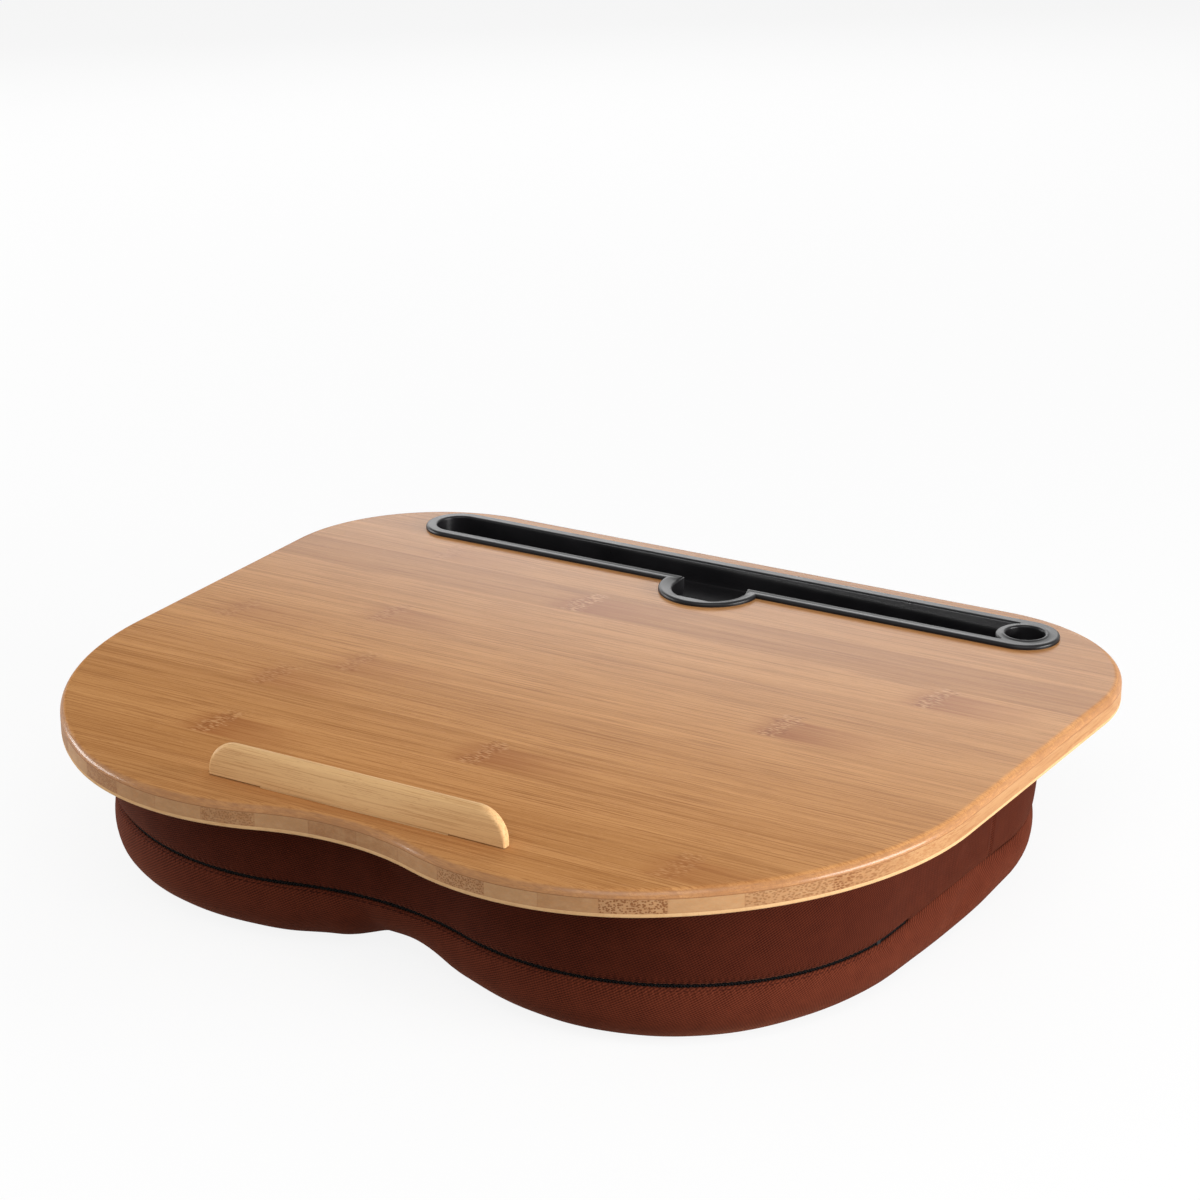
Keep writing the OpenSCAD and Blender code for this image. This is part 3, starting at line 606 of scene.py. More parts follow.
def make_knuckle_group():
    """A bamboo node at Centre: the speckled patch across its slat, and the dark streak to its right."""
    g, t, gin, gout = group("Knuckle",
                            [("Vector", "vector", None), ("Centre", "vector", None),
                             ("Strength", "float", 1.0), ("Wave", "float", 0.5)],
                            [("Mask", "float"), ("Trail", "float")])
    sub = t.node("ShaderNodeVectorMath", operation="SUBTRACT")
    t.link(gin.outputs["Vector"], sub.inputs[0])
    t.link(gin.outputs["Centre"], sub.inputs[1])
    x, y, _ = t.split(sub.outputs[0])
    strength = gin.outputs["Strength"]
    lean = t.math("ADD", x, t.math("MULTIPLY", y, -0.10))
    lean = t.math("ADD", lean, t.swing(gin.outputs["Wave"], 0.010))
    along = t.range(t.math("ABSOLUTE", lean), 0.0062, 0.0022, 0, 1, True)
    across = t.range(t.math("ABSOLUTE", y), 0.0128, 0.0100, 0, 1, True)
    t.link(t.math("MULTIPLY", t.math("MULTIPLY", along, across), strength), gout.inputs["Mask"])
    start = t.range(lean, -0.016, 0.002, 0, 1, True)
    end = t.range(lean, 0.046, 0.004, 0, 1)
    width = t.range(t.math("ABSOLUTE", t.math("ADD", y, 0.002)), 0.0102, 0.0082, 0, 1)
    trail = t.math("MULTIPLY", t.math("MULTIPLY", start, end), width)
    t.link(t.math("MULTIPLY", trail, strength), gout.inputs["Trail"])
    return g


GRAIN = make_grain_group()
KNUCKLE = make_knuckle_group()


def make_top_material():
    """Face ply: slats with grain from side to side, with nodes here and there."""
    mat, t, shader = material("bamboo_face")
    v = position(t)
    x, y, z = t.split(v)
    wave = t.noise(v, (120, 420, 420), detail=1.0)
    patch, trail = None, None
    for (knot_x, knot_y), strength in KNOTS:
        centre = (knot_x * MM, knot_y * MM, 0)
        knot = use(t, KNUCKLE, Vector=v, Centre=centre, Strength=strength, Wave=wave)
        patch = t.most(patch, knot.outputs["Mask"])
        trail = t.most(trail, knot.outputs["Trail"])
    grain = use(t, GRAIN, Vector=v)
    dashes = t.noise(v, (380, 1500, 1500), (2, 3, 1), detail=1.0)
    streaky = t.range(t.noise(v, (7, 700, 700), (2, 5, 8), rough=0.6), 0.30, 0.62, 0.45, 0.95)
    colour = t.mix(t.math("MULTIPLY", trail, streaky), grain.outputs["Color"], TRAIL_BROWN)
    colour = t.mix(t.math("MULTIPLY", patch, 0.45), colour, KNOT_BROWN)
    light = t.math("MULTIPLY", t.range(dashes, 0.52, 0.60), t.math("MULTIPLY", patch, 0.50))
    colour = t.mix(light, colour, KNOT_LIGHT)
    dark = t.math("MULTIPLY", t.range(dashes, 0.45, 0.38), t.math("MULTIPLY", patch, 0.62))
    colour = t.mix(dark, colour, KNOT_DARK)
    round_off = t.range(z, (TOP - 0.20) * MM, (TOP - 0.9) * MM, 0.0, 1.0, True)
    streak = t.range(t.noise(v, (260, 260, 2400), rough=0.6), 0.3, 0.66, 0.35, 0.85)
    colour = t.mix(t.math("MULTIPLY", round_off, streak), colour, ROUND_BROWN)
    glue = t.range(z, (FACE + 0.34) * MM, (FACE + 0.14) * MM, 0.0, 0.7)
    colour = t.mix(glue, colour, GLUE_BROWN)
    t.link(colour, shader.inputs["Base Color"])
    plain_gloss(shader, roughness=0.5, level=0.0, coat_roughness=0.24)
    # Painted sheen: the coat grows towards the back and on the rounded edge only so that the lamps' sheen
    # shows there.
    to_the_back = t.math("ADD", y, t.math("MULTIPLY", x, 0.2))
    sheen_coat = t.range(to_the_back, -0.140, 0.150, 0.0, 0.42, True)
    sheen_coat = t.math("MAXIMUM", sheen_coat, t.math("MULTIPLY", round_off, 0.38))
    t.link(sheen_coat, shader.inputs["Coat Weight"])
    height = t.math("ADD", grain.outputs["Height"], t.math("MULTIPLY", dashes, patch))
    bumped(t, shader, height, 0.14, 0.00015)
    return mat


def make_core_material():
    """Core strips: grain from front to back, so the front shows end grain and the sides show long grain."""
    mat, t, shader = material("bamboo_core")
    v = position(t)
    x, y, z = t.split(v)
    first_middle = STRIP_EDGE + STRIP / 2
    lane, place = lanes(t, x, STRIP * MM, first_middle * MM)
    shade, _ = t.own_number(lane, 3.3)
    turned_way = t.node("ShaderNodeCombineXYZ")
    for value, socket in ((y, "X"), (x, "Y"), (z, "Z")):
        t.link(value, turned_way.inputs[socket])
    along = use(t, GRAIN, Vector=turned_way.outputs[0], Slat=STRIP * MM, Contrast=0.8,
                Dark=LONG_DARK, Light=LONG_LIGHT)
    dots = t.node("ShaderNodeTexVoronoi")
    t.link(t.scaled(v, (1250, 40, 1450)), dots.inputs["Vector"])
    dots.inputs["Scale"].default_value = 1.0
    spots = t.range(dots.outputs["Distance"], 0.36, 0.54, 1, 0)
    mask = None
    for middle, strength in DOTTED:
        number = math.floor((middle - first_middle) / STRIP + 0.5)
        mask = t.most(mask, t.math("MULTIPLY", t.math("COMPARE", lane, float(number)), strength))
    cloud = t.noise(v, (240, 30, 420), detail=3.0, rough=0.6)
    fibre = t.noise(v, (900, 60, 2600), rough=0.6)
    end = t.ramp(shade, STRIP_TONES)
    end = t.mix(t.range(cloud, 0.40, 0.70, 0, 0.28), end, END_PALE)
    end = t.mix(t.range(fibre, 0.45, 0.65, 0, 0.35), end, END_FIBRE)
    dotted_share = t.math("ADD", t.math("MULTIPLY", mask, 0.92), 0.05)
    end = t.mix(t.math("MULTIPLY", spots, dotted_share), end, END_DOT)
    _, normal_y, _ = t.split(t.node("ShaderNodeNewGeometry").outputs["Normal"])
    facing = t.range(t.math("ABSOLUTE", normal_y), 0.25, 0.5)
    colour = t.mix(facing, along.outputs["Color"], end)
    gap = t.range(t.math("ABSOLUTE", place), 0.486, 0.496, 0, 0.28)
    colour = t.mix(t.math("MULTIPLY", gap, facing), colour, STRIP_GAP)
    glue = t.range(z, (CORE + 0.22) * MM, (CORE + 0.08) * MM, 0, 0.5)
    colour = t.mix(glue, colour, CORE_GLUE)
    t.link(colour, shader.inputs["Base Color"])
    plain_gloss(shader, roughness=0.5, level=0.0, coat=0.32)
    bumped(t, shader, t.math("MULTIPLY", spots, mask), 0.2, 0.0002)
    return mat


def make_pale_material(name, dark, light, lines=0.8):
    """Plain slats without nodes, for the ledge and the back ply."""
    mat, t, shader = material(name)
    v = t.scaled(position(t), (1, 1, 1), (0.3, 0.0031, 0.1))
    grain = use(t, GRAIN, Vector=v, Slat=SLAT * MM, Dark=dark, Light=light, Line=PALE_LINE, Contrast=0.7,
                Lines=lines)
    t.link(grain.outputs["Color"], shader.inputs["Base Color"])
    plain_gloss(shader, roughness=0.5, level=0.0, coat=0.12)
    bumped(t, shader, grain.outputs["Height"], 0.12, 0.00015)
    return mat


TOP_MAT = make_top_material()
CORE_MAT = make_core_material()
LEDGE_MAT = make_pale_material("bamboo_ledge", LEDGE_DARK, LEDGE_LIGHT)
BACK_MAT = make_pale_material("bamboo_back", BACK_DARK, BACK_LIGHT, 0.5)


# How far the groove reaches past the ledge's thickness and the tenon's length, and the back ply's eased
# lower edge as insets and heights
GROOVE_FIT = 0.2
UNDER_EASE = [(0.0, 0.7), (0.04, 0.45), (0.2, 0.21), (0.45, 0.05), (0.7, 0.0)]


def make_face_ply(hole, groove):
    b = Build()
    rings = [b.ring(inset(board_line, TOP_ROUND + 0.3), TOP)]
    rings += [b.ring(inset(board_line, e), z) for e, z in rounded(TOP_ROUND, 8, TOP)]
    b.walls(rings)
    h_top, h_low = b.ring(hole, TOP), b.ring(hole, FACE)
    g_top, g_low = b.ring(groove, TOP), b.ring(groove, FACE)
    b.wall(h_low, h_top)
    b.wall(g_low, g_top)
    b.cap([rings[0], h_top, g_top], True)
    b.cap([rings[-1], h_low, g_low], False)
    return b.object("bamboo_face", TOP_MAT, 50)


def make_core(hole, groove):
    """The core, with the groove's floor in it."""
    b = Build()
    side = [b.ring(board_line[:, :2], FACE), b.ring(board_line[:, :2], CORE)]
    b.walls(side)
    h_top, h_low = b.ring(hole, FACE), b.ring(hole, CORE)
    g_top, g_low = b.ring(groove, FACE), b.ring(groove, TOP - GROOVE)
    b.wall(h_low, h_top)
    b.wall(g_low, g_top)
    b.cap([side[0], h_top, g_top], True)
    b.cap([side[1], h_low], False)
    b.cap([g_low], True)
    return b.object("bamboo_core", CORE_MAT, 50)


def make_back_ply(hole):
    b = Build()
    rings = [b.ring(board_line[:, :2], CORE)]
    rings += [b.ring(inset(board_line, e), UNDER + up) for e, up in UNDER_EASE]
    b.walls(rings)
    h_top, h_low = b.ring(hole, CORE), b.ring(hole, UNDER)
    b.wall(h_low, h_top)
    b.cap([rings[0], h_top], True)
    b.cap([rings[-1], h_low], False)
    return b.object("bamboo_back", BACK_MAT, 50)


def make_board():
    wall = WELL_WALL + WELL_FIT
    hole = slot_outline(SLOT_A + wall, MOON_IN + wall)
    half = TENON_L / 2 + GROOVE_FIT
    groove = rectangle(-half, half, LEDGE_Y - GROOVE_FIT, LEDGE_Y + LEDGE_T + GROOVE_FIT)
    plies = ((make_face_ply(hole, groove), "face_ply", "bamboo"),
             (make_core(hole, groove), "core_strips", "bamboo_core"),
             (make_back_ply(hole), "back_ply", "bamboo"))
    for obj, node, slot in plies:
        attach(obj, "desk")
        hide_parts(node)


# Ledge: its corner radius, the easing of its front edge at top and foot and of its back edge,
# the level of its foot, and how far its tenon is drawn in and eased at its end
LEDGE_CORNER, TOP_EASE, FOOT_EASE, BACK_EASE = 11.5, 2.0, 0.8, 1.0
LEDGE_FOOT = TOP + 0.3
TENON_IN, TENON_EASE = 0.05, 0.4


def ledge_outline():
    """The ledge seen from the front: x, height over its foot, and the outward normal."""
    half, top = LEDGE_L / 2, LEDGE_H - LEDGE_CORNER
    outline = [(-half, 0.0, -1.0, 0.0), (half, 0.0, 1.0, 0.0)]
    for x, start in ((half - LEDGE_CORNER, 0), (-half + LEDGE_CORNER, QUARTER)):
        for a in np.linspace(start, start + QUARTER, 20):
            cos, sin = math.cos(a), math.sin(a)
            outline.append((x + LEDGE_CORNER * cos, top + LEDGE_CORNER * sin, cos, sin))
    return outline


def ledge_loop(outline, step, low, high, y_of):
    """The outline drawn in by a step of the easing, which grows from low at the foot to high at the top."""
    pts = []
    for x, z, nx, nz in outline:
        share = (z / LEDGE_H) ** 0.8 if z > 0 else 0.0
        ease = low + (high - low) * share
        inward = step[0] * ease
        foot = 0.25 * inward if z == 0 else 0.0
        pts.append((x - nx * inward, LEDGE_Y + y_of(step[1] * ease), LEDGE_FOOT + z - nz * inward + foot))
    return pts


def make_ledge():
    """Ledge with rounded upper corners, a wide eased edge along its top, and its tenon in the groove."""
    outline = ledge_outline()
    turns = [(1 - math.cos(a), 1 - math.sin(a)) for a in np.linspace(QUARTER, 0, 8)]
    steps = [(1.12, 0.0)] + turns
    loops = [ledge_loop(outline, s, FOOT_EASE, TOP_EASE, lambda depth: depth) for s in steps]
    loops += [ledge_loop(outline, s, BACK_EASE, BACK_EASE, lambda depth: LEDGE_T - depth)
              for s in steps[::-1]]
    b = Build()
    rings = [b.points(pts) for pts in loops]
    b.walls(rings)
    b.faces.append(tuple(rings[0]))
    b.faces.append(tuple(rings[-1][::-1]))

    half, ease = TENON_L / 2, TENON_EASE
    y0, y1 = LEDGE_Y + TENON_IN, LEDGE_Y + LEDGE_T - TENON_IN
    base = rectangle(-half, half, y0, y1)
    tip = rectangle(-half + ease, half - ease, y0 + ease, y1 - ease)
    bottom = TOP - GROOVE
    tenon = [b.ring(base, LEDGE_FOOT + 1.0), b.ring(base, bottom + ease), b.ring(tip, bottom)]
    b.walls(tenon)
    b.cap([tenon[0]], True)
    b.cap([tenon[-1]], False)
    obj = b.object("ledge_bar", LEDGE_MAT, 40)
    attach(obj, "ledge")
    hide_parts("ledge")


make_board()
make_ledge()


# Black moulded insert
PLASTIC_DARK, PLASTIC_LIGHT = (0.0055, 0.0052, 0.0058, 1), (0.0085, 0.008, 0.0088, 1)
RIM_TOP = TOP + RIM_H
RIM_ROUND, WELL_ROUND = 1.1, 0.9
WELL_BOTTOM = UNDER + WELL_FLOOR
# How far the ring round the finger hollow is scooped down at its inner edge, and how far in from the rim's
# outline its top has one more row of points
SCOOP = 1.15
SHELF = 2.0
# Foot of the well's wall: how far in, and height over the floor
WELL_FOOT = [(0.0, 3.2), (0.12, 1.0), (0.4, 0.3), (1.0, 0.0)]
# Pen hole from its raised lip down to its foot: distance out from its wall, and height over the rim
# for the lip and over the floor for the foot
PEN_LIP = [(1.9, 0.0), (1.6, 0.12), (1.3, 0.28), (0.9, 0.36), (0.5, 0.28), (0.15, -0.05), (0.0, -0.6)]
PEN_FOOT = [(0.0, 1.0), (-0.3, 0.3), (-1.0, 0.0)]


def make_plastic_material():
    mat, t, shader = material("black_plastic")
    v = position(t)
    cloud = t.noise(v, (60, 60, 60), detail=3.0)
    t.link(t.mix(t.range(cloud, 0.3, 0.7), PLASTIC_DARK, PLASTIC_LIGHT), shader.inputs["Base Color"])
    t.link(t.range(cloud, 0.3, 0.7, 0.27, 0.34), shader.inputs["Roughness"])
    shader.inputs["Specular IOR Level"].default_value = 0.17
    bumped(t, shader, t.noise(v, (2600, 2600, 2600)), 0.12, 0.0001)
    return mat


PLASTIC = make_plastic_material()


def scooped(outline, z):
    """Lowers the ring round the finger hollow towards its inner edge."""
    r = np.hypot(outline[:, 0], outline[:, 1] - (SLOT_Y - RIM_A))
    front = np.clip((SLOT_Y - SLOT_A - 0.5 - outline[:, 1]) / 4.0, 0, 1)
    start = MOON_R - 1.6
    slope = np.clip((start - r) / (start - MOON_IN), 0, 1)
    return z - SCOOP * front * slope


def make_insert():
    b = Build()
    flat = RIM_ROUND + 0.15
    outer = [b.ring(slot_outline(RIM_A - flat, MOON_R - flat), RIM_TOP)]
    outer += [b.ring(slot_outline(RIM_A - e, MOON_R - e), z) for e, z in rounded(RIM_ROUND, 5, RIM_TOP)]
    outer.append(b.ring(slot_outline(RIM_A, MOON_R), TOP))
    wall = slot_outline(SLOT_A + WELL_WALL, MOON_IN + WELL_WALL)
    outer += [b.ring(wall, TOP), b.ring(wall, UNDER)]
    b.walls(outer)
    b.cap([outer[-1]], False)

    ring = well_outline(WELL_ROUND + 0.15)
    inner = [b.ring(ring, scooped(ring, RIM_TOP))]
    for e, z in rounded(WELL_ROUND, 5, RIM_TOP):
        ring = well_outline(e)
        inner.append(b.ring(ring, scooped(ring, z)))
    inner += [b.ring(well_outline(-e), WELL_BOTTOM + up) for e, up in WELL_FOOT]
    b.walls(inner, inward=True)
    b.cap([inner[-1]], True)

    centre = (PEN_X, SLOT_Y)
    pen = [b.ring(circle(centre, PEN_R + e), RIM_TOP + up) for e, up in PEN_LIP]
    pen += [b.ring(circle(centre, PEN_R + e), WELL_BOTTOM + up) for e, up in PEN_FOOT]
    b.walls(pen, inward=True)
    b.cap([pen[-1]], True)

    middle = slot_outline(RIM_A - SHELF, MOON_R - SHELF)
    shelf = b.ring(middle, scooped(middle, RIM_TOP))
    b.wall(shelf, outer[0])
    b.cap([shelf, inner[0], pen[0]], True)
    obj = b.object("slot_moulding", PLASTIC, 40)
    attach(obj, "desk")
    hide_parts("slot_insert")


make_insert()


# Cushion
TWILL_PITCH = 0.92
SHEEN_TINT = (0.90, 0.36, 0.20, 1)
# The band's twill is a darker copy of the panel's: painted shade for the shadow under the board's overhang.
SHADED_BAND_DARK, SHADED_BAND_LIGHT = (0.014, 0.0022, 0.0012, 1), (0.075, 0.0150, 0.0066, 1)
PANEL_DARK, PANEL_LIGHT = (0.023, 0.0038, 0.0020, 1), (0.112, 0.0245, 0.0112, 1)


def make_twill_group():
    """Fine diagonal twill. Vector is the cloth's own place in metres."""
    g, t, gin, gout = group("Twill",
                            [("Vector", "vector", None), ("Pitch", "float", TWILL_PITCH * MM)],
                            [("Rib", "float"), ("Slub", "float")])
    v, pitch = gin.outputs["Vector"], gin.outputs["Pitch"]
    x, y, _ = t.split(v)

    def wave(distance, turns_each):
        """A wave from 0 to 1 along a distance."""
        angle = t.math("MULTIPLY", t.math("DIVIDE", distance, pitch), turns_each * TURN)
        return t.math("MULTIPLY", t.math("ADD", t.math("SINE", angle), 1.0), 0.5)

    diagonal = t.math("ADD", t.math("MULTIPLY", x, 0.5), y)
    wobble = t.math("MULTIPLY", t.noise(v, (700, 700, 700)), 0.00025)
    rib = wave(t.math("ADD", diagonal, wobble), 1.0)
    yarn = wave(t.math("SUBTRACT", x, t.math("MULTIPLY", y, 0.4)), 0.8)
    t.link(t.math("ADD", t.math("MULTIPLY", rib, 0.72), t.math("MULTIPLY", yarn, 0.28)), gout.inputs["Rib"])
    t.link(t.noise(v, (140, 140, 140), detail=3.0, rough=0.6), gout.inputs["Slub"])
    return g


TWILL = make_twill_group()


def make_cloth_material(name, dark, light):
    mat, t, shader = material(name)
    uv = t.node("ShaderNodeUVMap", uv_map="cloth").outputs["UV"]
    twill = use(t, TWILL, Vector=uv)
    colour = t.mix(twill.outputs["Rib"], dark, light)
    colour = t.mix(t.range(twill.outputs["Slub"], 0.35, 0.7, 0.0, 0.30), colour, light)
    t.link(colour, shader.inputs["Base Color"])
    plain_gloss(shader, roughness=0.9, level=0.04)
    shader.inputs["Sheen Weight"].default_value = 0.10
    shader.inputs["Sheen Roughness"].default_value = 0.35
    shader.inputs["Sheen Tint"].default_value = SHEEN_TINT
    bumped(t, shader, twill.outputs["Rib"], 0.5, 0.0002)
    return mat


# The band's darker copy of the cloth is painted shade under the board.
SHADED_BAND_MAT = make_cloth_material("brown_twill_band", SHADED_BAND_DARK, SHADED_BAND_LIGHT)
PANEL_MAT = make_cloth_material("brown_twill_panel", PANEL_DARK, PANEL_LIGHT)


def seam_z(x):
    return SEAM_Z - FALL * x


def lobe_share(x, y):
    return np.exp(-(((np.abs(x) - 100) / 55) ** 2)) * np.clip(-y / 60, 0, 1)


def fold_share(x, y):
    """How much a point lies in the fold at the middle of the front."""
    return np.where(y < 0, np.exp(-((x / 22) ** 2)), 0.0)


def lengths_of(line):
    steps = np.linalg.norm(np.roll(line[:, :2], -1, 0) - line[:, :2], axis=1)
    return np.concatenate([[0], np.cumsum(steps)])


LENGTHS = lengths_of(pad_line)
ROUND = LENGTHS[-1]
# Places along the edge: distance from the middle of the front, to the right positive.
# ZIP_LONGER is how far the zip's opening runs on past ZIP_END at the right.
ZIP_END = LENGTHS[PAD_STEPS[0] + PAD_STEPS[1]]
ZIP_LONGER = 14.0
SIDE_SEAM = 294.0
# From one stitch to the next, and how far along the zip the lower row is shifted against the upper one
NEEDLE, ROW_SHIFT = 2.6, 1.1
# Rows of stitches: distance from the cloth's edge, distance of that edge from the seam, how far past the
# zip they run and how much is left free at a side seam
STITCH_OFF, EDGE_OFF = 1.1, 0.55
PAST_ZIP, SEAM_FREE = 30, 2.0
# Half the opening between the two cloth edges at the zip, and what is left of it where the zip ends
SLIT, SLIT_CLOSED = 0.78, 0.05

# Swells of the cushion: how far, place along the edge and reach along it. Rolls draw the panel in.
BAND_BULGE = [(1.1, -150, 62)]
BAND_WIDER = [(2.1, -150, 60), (-1.0, 330, 30)]
PANEL_SWELLS = [(2.2, -185, 58), (-1.6, -55, 32), (1.5, 100, 40), (4.2, 265, 62)]
PANEL_ROLLS = [(4.4, -85, 42), (-10.6, 140, 62), (-7.0, 265, 70)]
# Ridges, positive, and the valley beside the fold at the middle of the front
FOLD_RIDGES = [(3.0, -21, 6.5), (-3.2, -9, 5.0), (1.6, 29, 9)]
# Creases: depth, start and end as place along the edge and distance from the seam, and width.
# A negative depth is a ridge.
BAND_CREASES = [(0.9, (SIDE_SEAM - 3, 1.0), (SIDE_SEAM - 26, 15.0), 3.5),
                (-0.7, (SIDE_SEAM - 8, 0.5), (SIDE_SEAM - 34, 9.0), 3.0),
                (0.7, (-8, 30.0), (10, 8.0), 5.0)]
PANEL_CREASES = [(1.3, (SIDE_SEAM - 2, 2.0), (SIDE_SEAM - 44, 12.0), 4.0),
                 (-1.1, (SIDE_SEAM + 4, 1.0), (SIDE_SEAM + 40, 6.0), 3.5)]


def signed_place(line):
    """Distance along the edge from the middle of the front, to the right positive."""
    a = lengths_of(line)[:-1]
    return np.where(a > ROUND / 2, a - ROUND, a)


def lumps(place, rows):
    """Sum of smooth swells along the edge."""
    return sum(size * np.exp(-(((place - middle) / reach) ** 2)) for size, middle, reach in rows)


def crease(place, near, depth, start, end, width):
    """A soft crease on the cloth from one place and distance to another."""
    p = np.column_stack([place - start[0], near - start[1]])
    d = np.array(end, float) - np.array(start, float)
    length = np.linalg.norm(d)
    d = d / length
    along = np.clip(p @ d, 0, length)
    off = p - along[:, None] * d
    taper = np.sin(np.pi * np.clip(along / length, 0.02, 0.98)) ** 0.6
    return depth * taper * np.exp(-((np.linalg.norm(off, axis=1) / width) ** 2))


def creases(place, near, rows):
    return sum(crease(place, near, *row) for row in rows)


def waves(place, h):
    """Slight unevenness of a filled cover."""
    return (0.30 * np.sin(place / 23.0 + 0.4) * np.sin(h / 9.0 + 1.0)
            + 0.22 * np.sin(place / 11.3 + 2.1 + h / 17.0) + 0.12 * np.sin(place / 5.1 + h / 4.0))


def puckers(place, near, shift=0.0):
    """Small dents where the needle went through beside the zip, weaker past its ends."""
    beside_zip = np.clip((ZIP_END - np.abs(place)) / 3.0, 0, 1)
    dent = 0.5 + 0.5 * np.cos(TURN * (place + shift) / NEEDLE)
    return (0.30 * dent - 0.16) * np.exp(-(((near - 2.0) / 0.9) ** 2)) * (0.35 + 0.65 * beside_zip)


def side_seams(place, near):
    """The groove of the two side seams, and the cloth that stands up a little beside it."""
    side = np.abs(np.abs(place) - SIDE_SEAM)
    stitch = 0.5 + 0.5 * np.cos(TURN * near / NEEDLE)
    raised = 0.18 * np.exp(-(((side - 1.9) / 1.1) ** 2)) * (0.4 + stitch)
    return 0.75 * np.exp(-((side / 0.7) ** 2)) - raised


def band_surface(line, s, off=0.0, detail=True):
    """Side band: s from 0 at the board to 1 at the seam."""
    x, y, nx, ny = line.T
    place = signed_place(line)
    drop = UNDER - seam_z(x)
    near = (1 - s) * drop
    bulge = 1.2 + lumps(place, BAND_BULGE)
    e = SEAM_IN * s - lumps(place, BAND_WIDER) * (1 - s) - bulge * math.sin(math.pi * s ** 0.9)
    e = e + SEAM_PULL * np.exp(-near / SEAM_SOFT) + off
    e = e + 0.5 * np.exp(-(s * drop) / 1.2)
    if detail:
        inside = math.sin(math.pi * s) ** 0.7 if 0 < s < 1 else 0.0
        e = e + (creases(place, near, BAND_CREASES) - 0.55 * waves(place, near)) * inside
        e = e + side_seams(place, near) + puckers(place, near)
    z = UNDER + (seam_z(x) - UNDER) * s
    return np.column_stack([x - e * nx, y - e * ny, z])


def panel_surface(line, a, off=0.0, detail=True):
    """Bottom panel: a from 0 at the seam to a quarter turn where it meets the floor."""
    x, y, nx, ny = line.T
    place = signed_place(line)
    sz, fold = seam_z(x), fold_share(x, y)
    near = math.sin(a) * sz
    full = max(0.0, math.sin(2 * a))
    swell = 2.8 * full ** 1.5 + 1.9 * lobe_share(x, y) * math.sin(a) + full * lumps(place, PANEL_SWELLS)
    roll = ROLL + lumps(place, PANEL_ROLLS)
    e = SEAM_IN + roll * (1 - math.cos(a)) - swell + 7.5 * fold * math.sin(a)
    e = e + SEAM_PULL * np.exp(-near / SEAM_SOFT)
    if detail:
        inside = math.sin(a) * (1 - 0.4 * math.sin(a))
        e = e - (0.9 * waves(place + 40, near + 12) + lumps(place, FOLD_RIDGES)) * inside
        e = e + creases(place, near, PANEL_CREASES) + puckers(place, near, ROW_SHIFT)
    e = e + off * math.cos(a)
    z = np.maximum(0.0, sz - (sz + 0.5 - 4.8 * fold) * math.sin(a)) + off * math.sin(a)
    return np.column_stack([x - e * nx, y - e * ny, z])


def sheet_object(name, grids, mat, centre=None, flat_from=None):
    """A cloth of rows of points, each a closed ring, with uv in metres along and across.

    From row flat_from on, the uv is the place seen from above. A centre closes the last ring.
    """
    n = len(grids[0])
    verts = np.vstack(grids) * MM
    faces, uvs = [], []
    along, across = lengths_of(pad_line) * MM, heights(grids) * MM
    for j in range(len(grids) - 1):
        level = flat_from is not None and j >= flat_from
        for i in range(n):
            k = (i + 1) % n
            corners = (j * n + i, (j + 1) * n + i, (j + 1) * n + k, j * n + k)
            faces.append(corners)
            if level:
                uvs += [tuple(verts[c][:2]) for c in corners]
            else:
                u0, u1, v0, v1 = along[i], along[i + 1], across[j], across[j + 1]
                uvs += [(u0, v0), (u0, v1), (u1, v1), (u1, v0)]
    if centre is not None:
        last = (len(grids) - 1) * n
        verts = np.vstack([verts, np.array(centre) * MM])
        for i in range(n):
            corners = (last + i, len(verts) - 1, last + (i + 1) % n)
            faces.append(corners)
            uvs += [tuple(verts[c][:2]) for c in corners]
    mesh = bpy.data.meshes.new(name)
    mesh.from_pydata([tuple(v) for v in verts], [], faces)
    layer = mesh.uv_layers.new(name="cloth")
    layer.data.foreach_set("uv", np.array(uvs, np.float32).ravel())
    mesh.shade_smooth()
    mesh.materials.append(mat)
    return linked(name, mesh)


def heights(grids):
    """Running distance from row to row, along the middle of the front."""
    steps = [float(np.linalg.norm(b[0] - a[0])) for a, b in zip(grids, grids[1:])]
    return np.concatenate([[0], np.cumsum(steps)])


def slit_half(line):
    """Half the opening between the two cloth edges, with the slight unevenness of the stitching."""
    place = signed_place(line)
    zip_end = ZIP_END + np.where(place > 0, ZIP_LONGER, 0)
    open_share = np.clip((zip_end - np.abs(place)) / 2.5, 0, 1)
    uneven = 0.10 * np.cos(TURN * place / NEEDLE) + 0.05 * np.sin(place / 3.7)
    return SLIT_CLOSED + (SLIT + uneven) * open_share


def moved(points, line, inward, up=0.0):
    """A copy of a row of points, moved in from the edge and up."""
    g = points.copy()
    g[:, :2] -= line[:, 2:] * inward
    g[:, 2] += up
    return g


# Rows of the cover: shares of the band's height, angles of the panel's roll, and distances in on its flat
BAND_ROWS = np.concatenate([[0.0, 0.012, 0.03, 0.06], np.linspace(0.1, 0.86, 16),
                            [0.885, 0.905, 0.925, 0.94, 0.955, 0.97, 0.985, 1.0]])
PANEL_ROWS = np.radians(np.concatenate([[0.0, 1.0, 2.0, 3.0, 4.2, 5.5, 7.0], np.linspace(9.5, 90, 24)]))
FLAT_ROWS = (4, 10, 18, 26, 40)
# How far in the panel lies fully flat, its middle, and how many rows of its roll have their uv from above
FLAT_START = 26
PANEL_CENTRE = (0, 15, 0)
LEVEL_UV_ROWS = 6
# The cloth's edge turned in behind the zip: how far in, and how far away from the zip's middle
TURNED_IN = [(0.35, -0.06), (0.8, 0.0), (1.4, 0.25)]


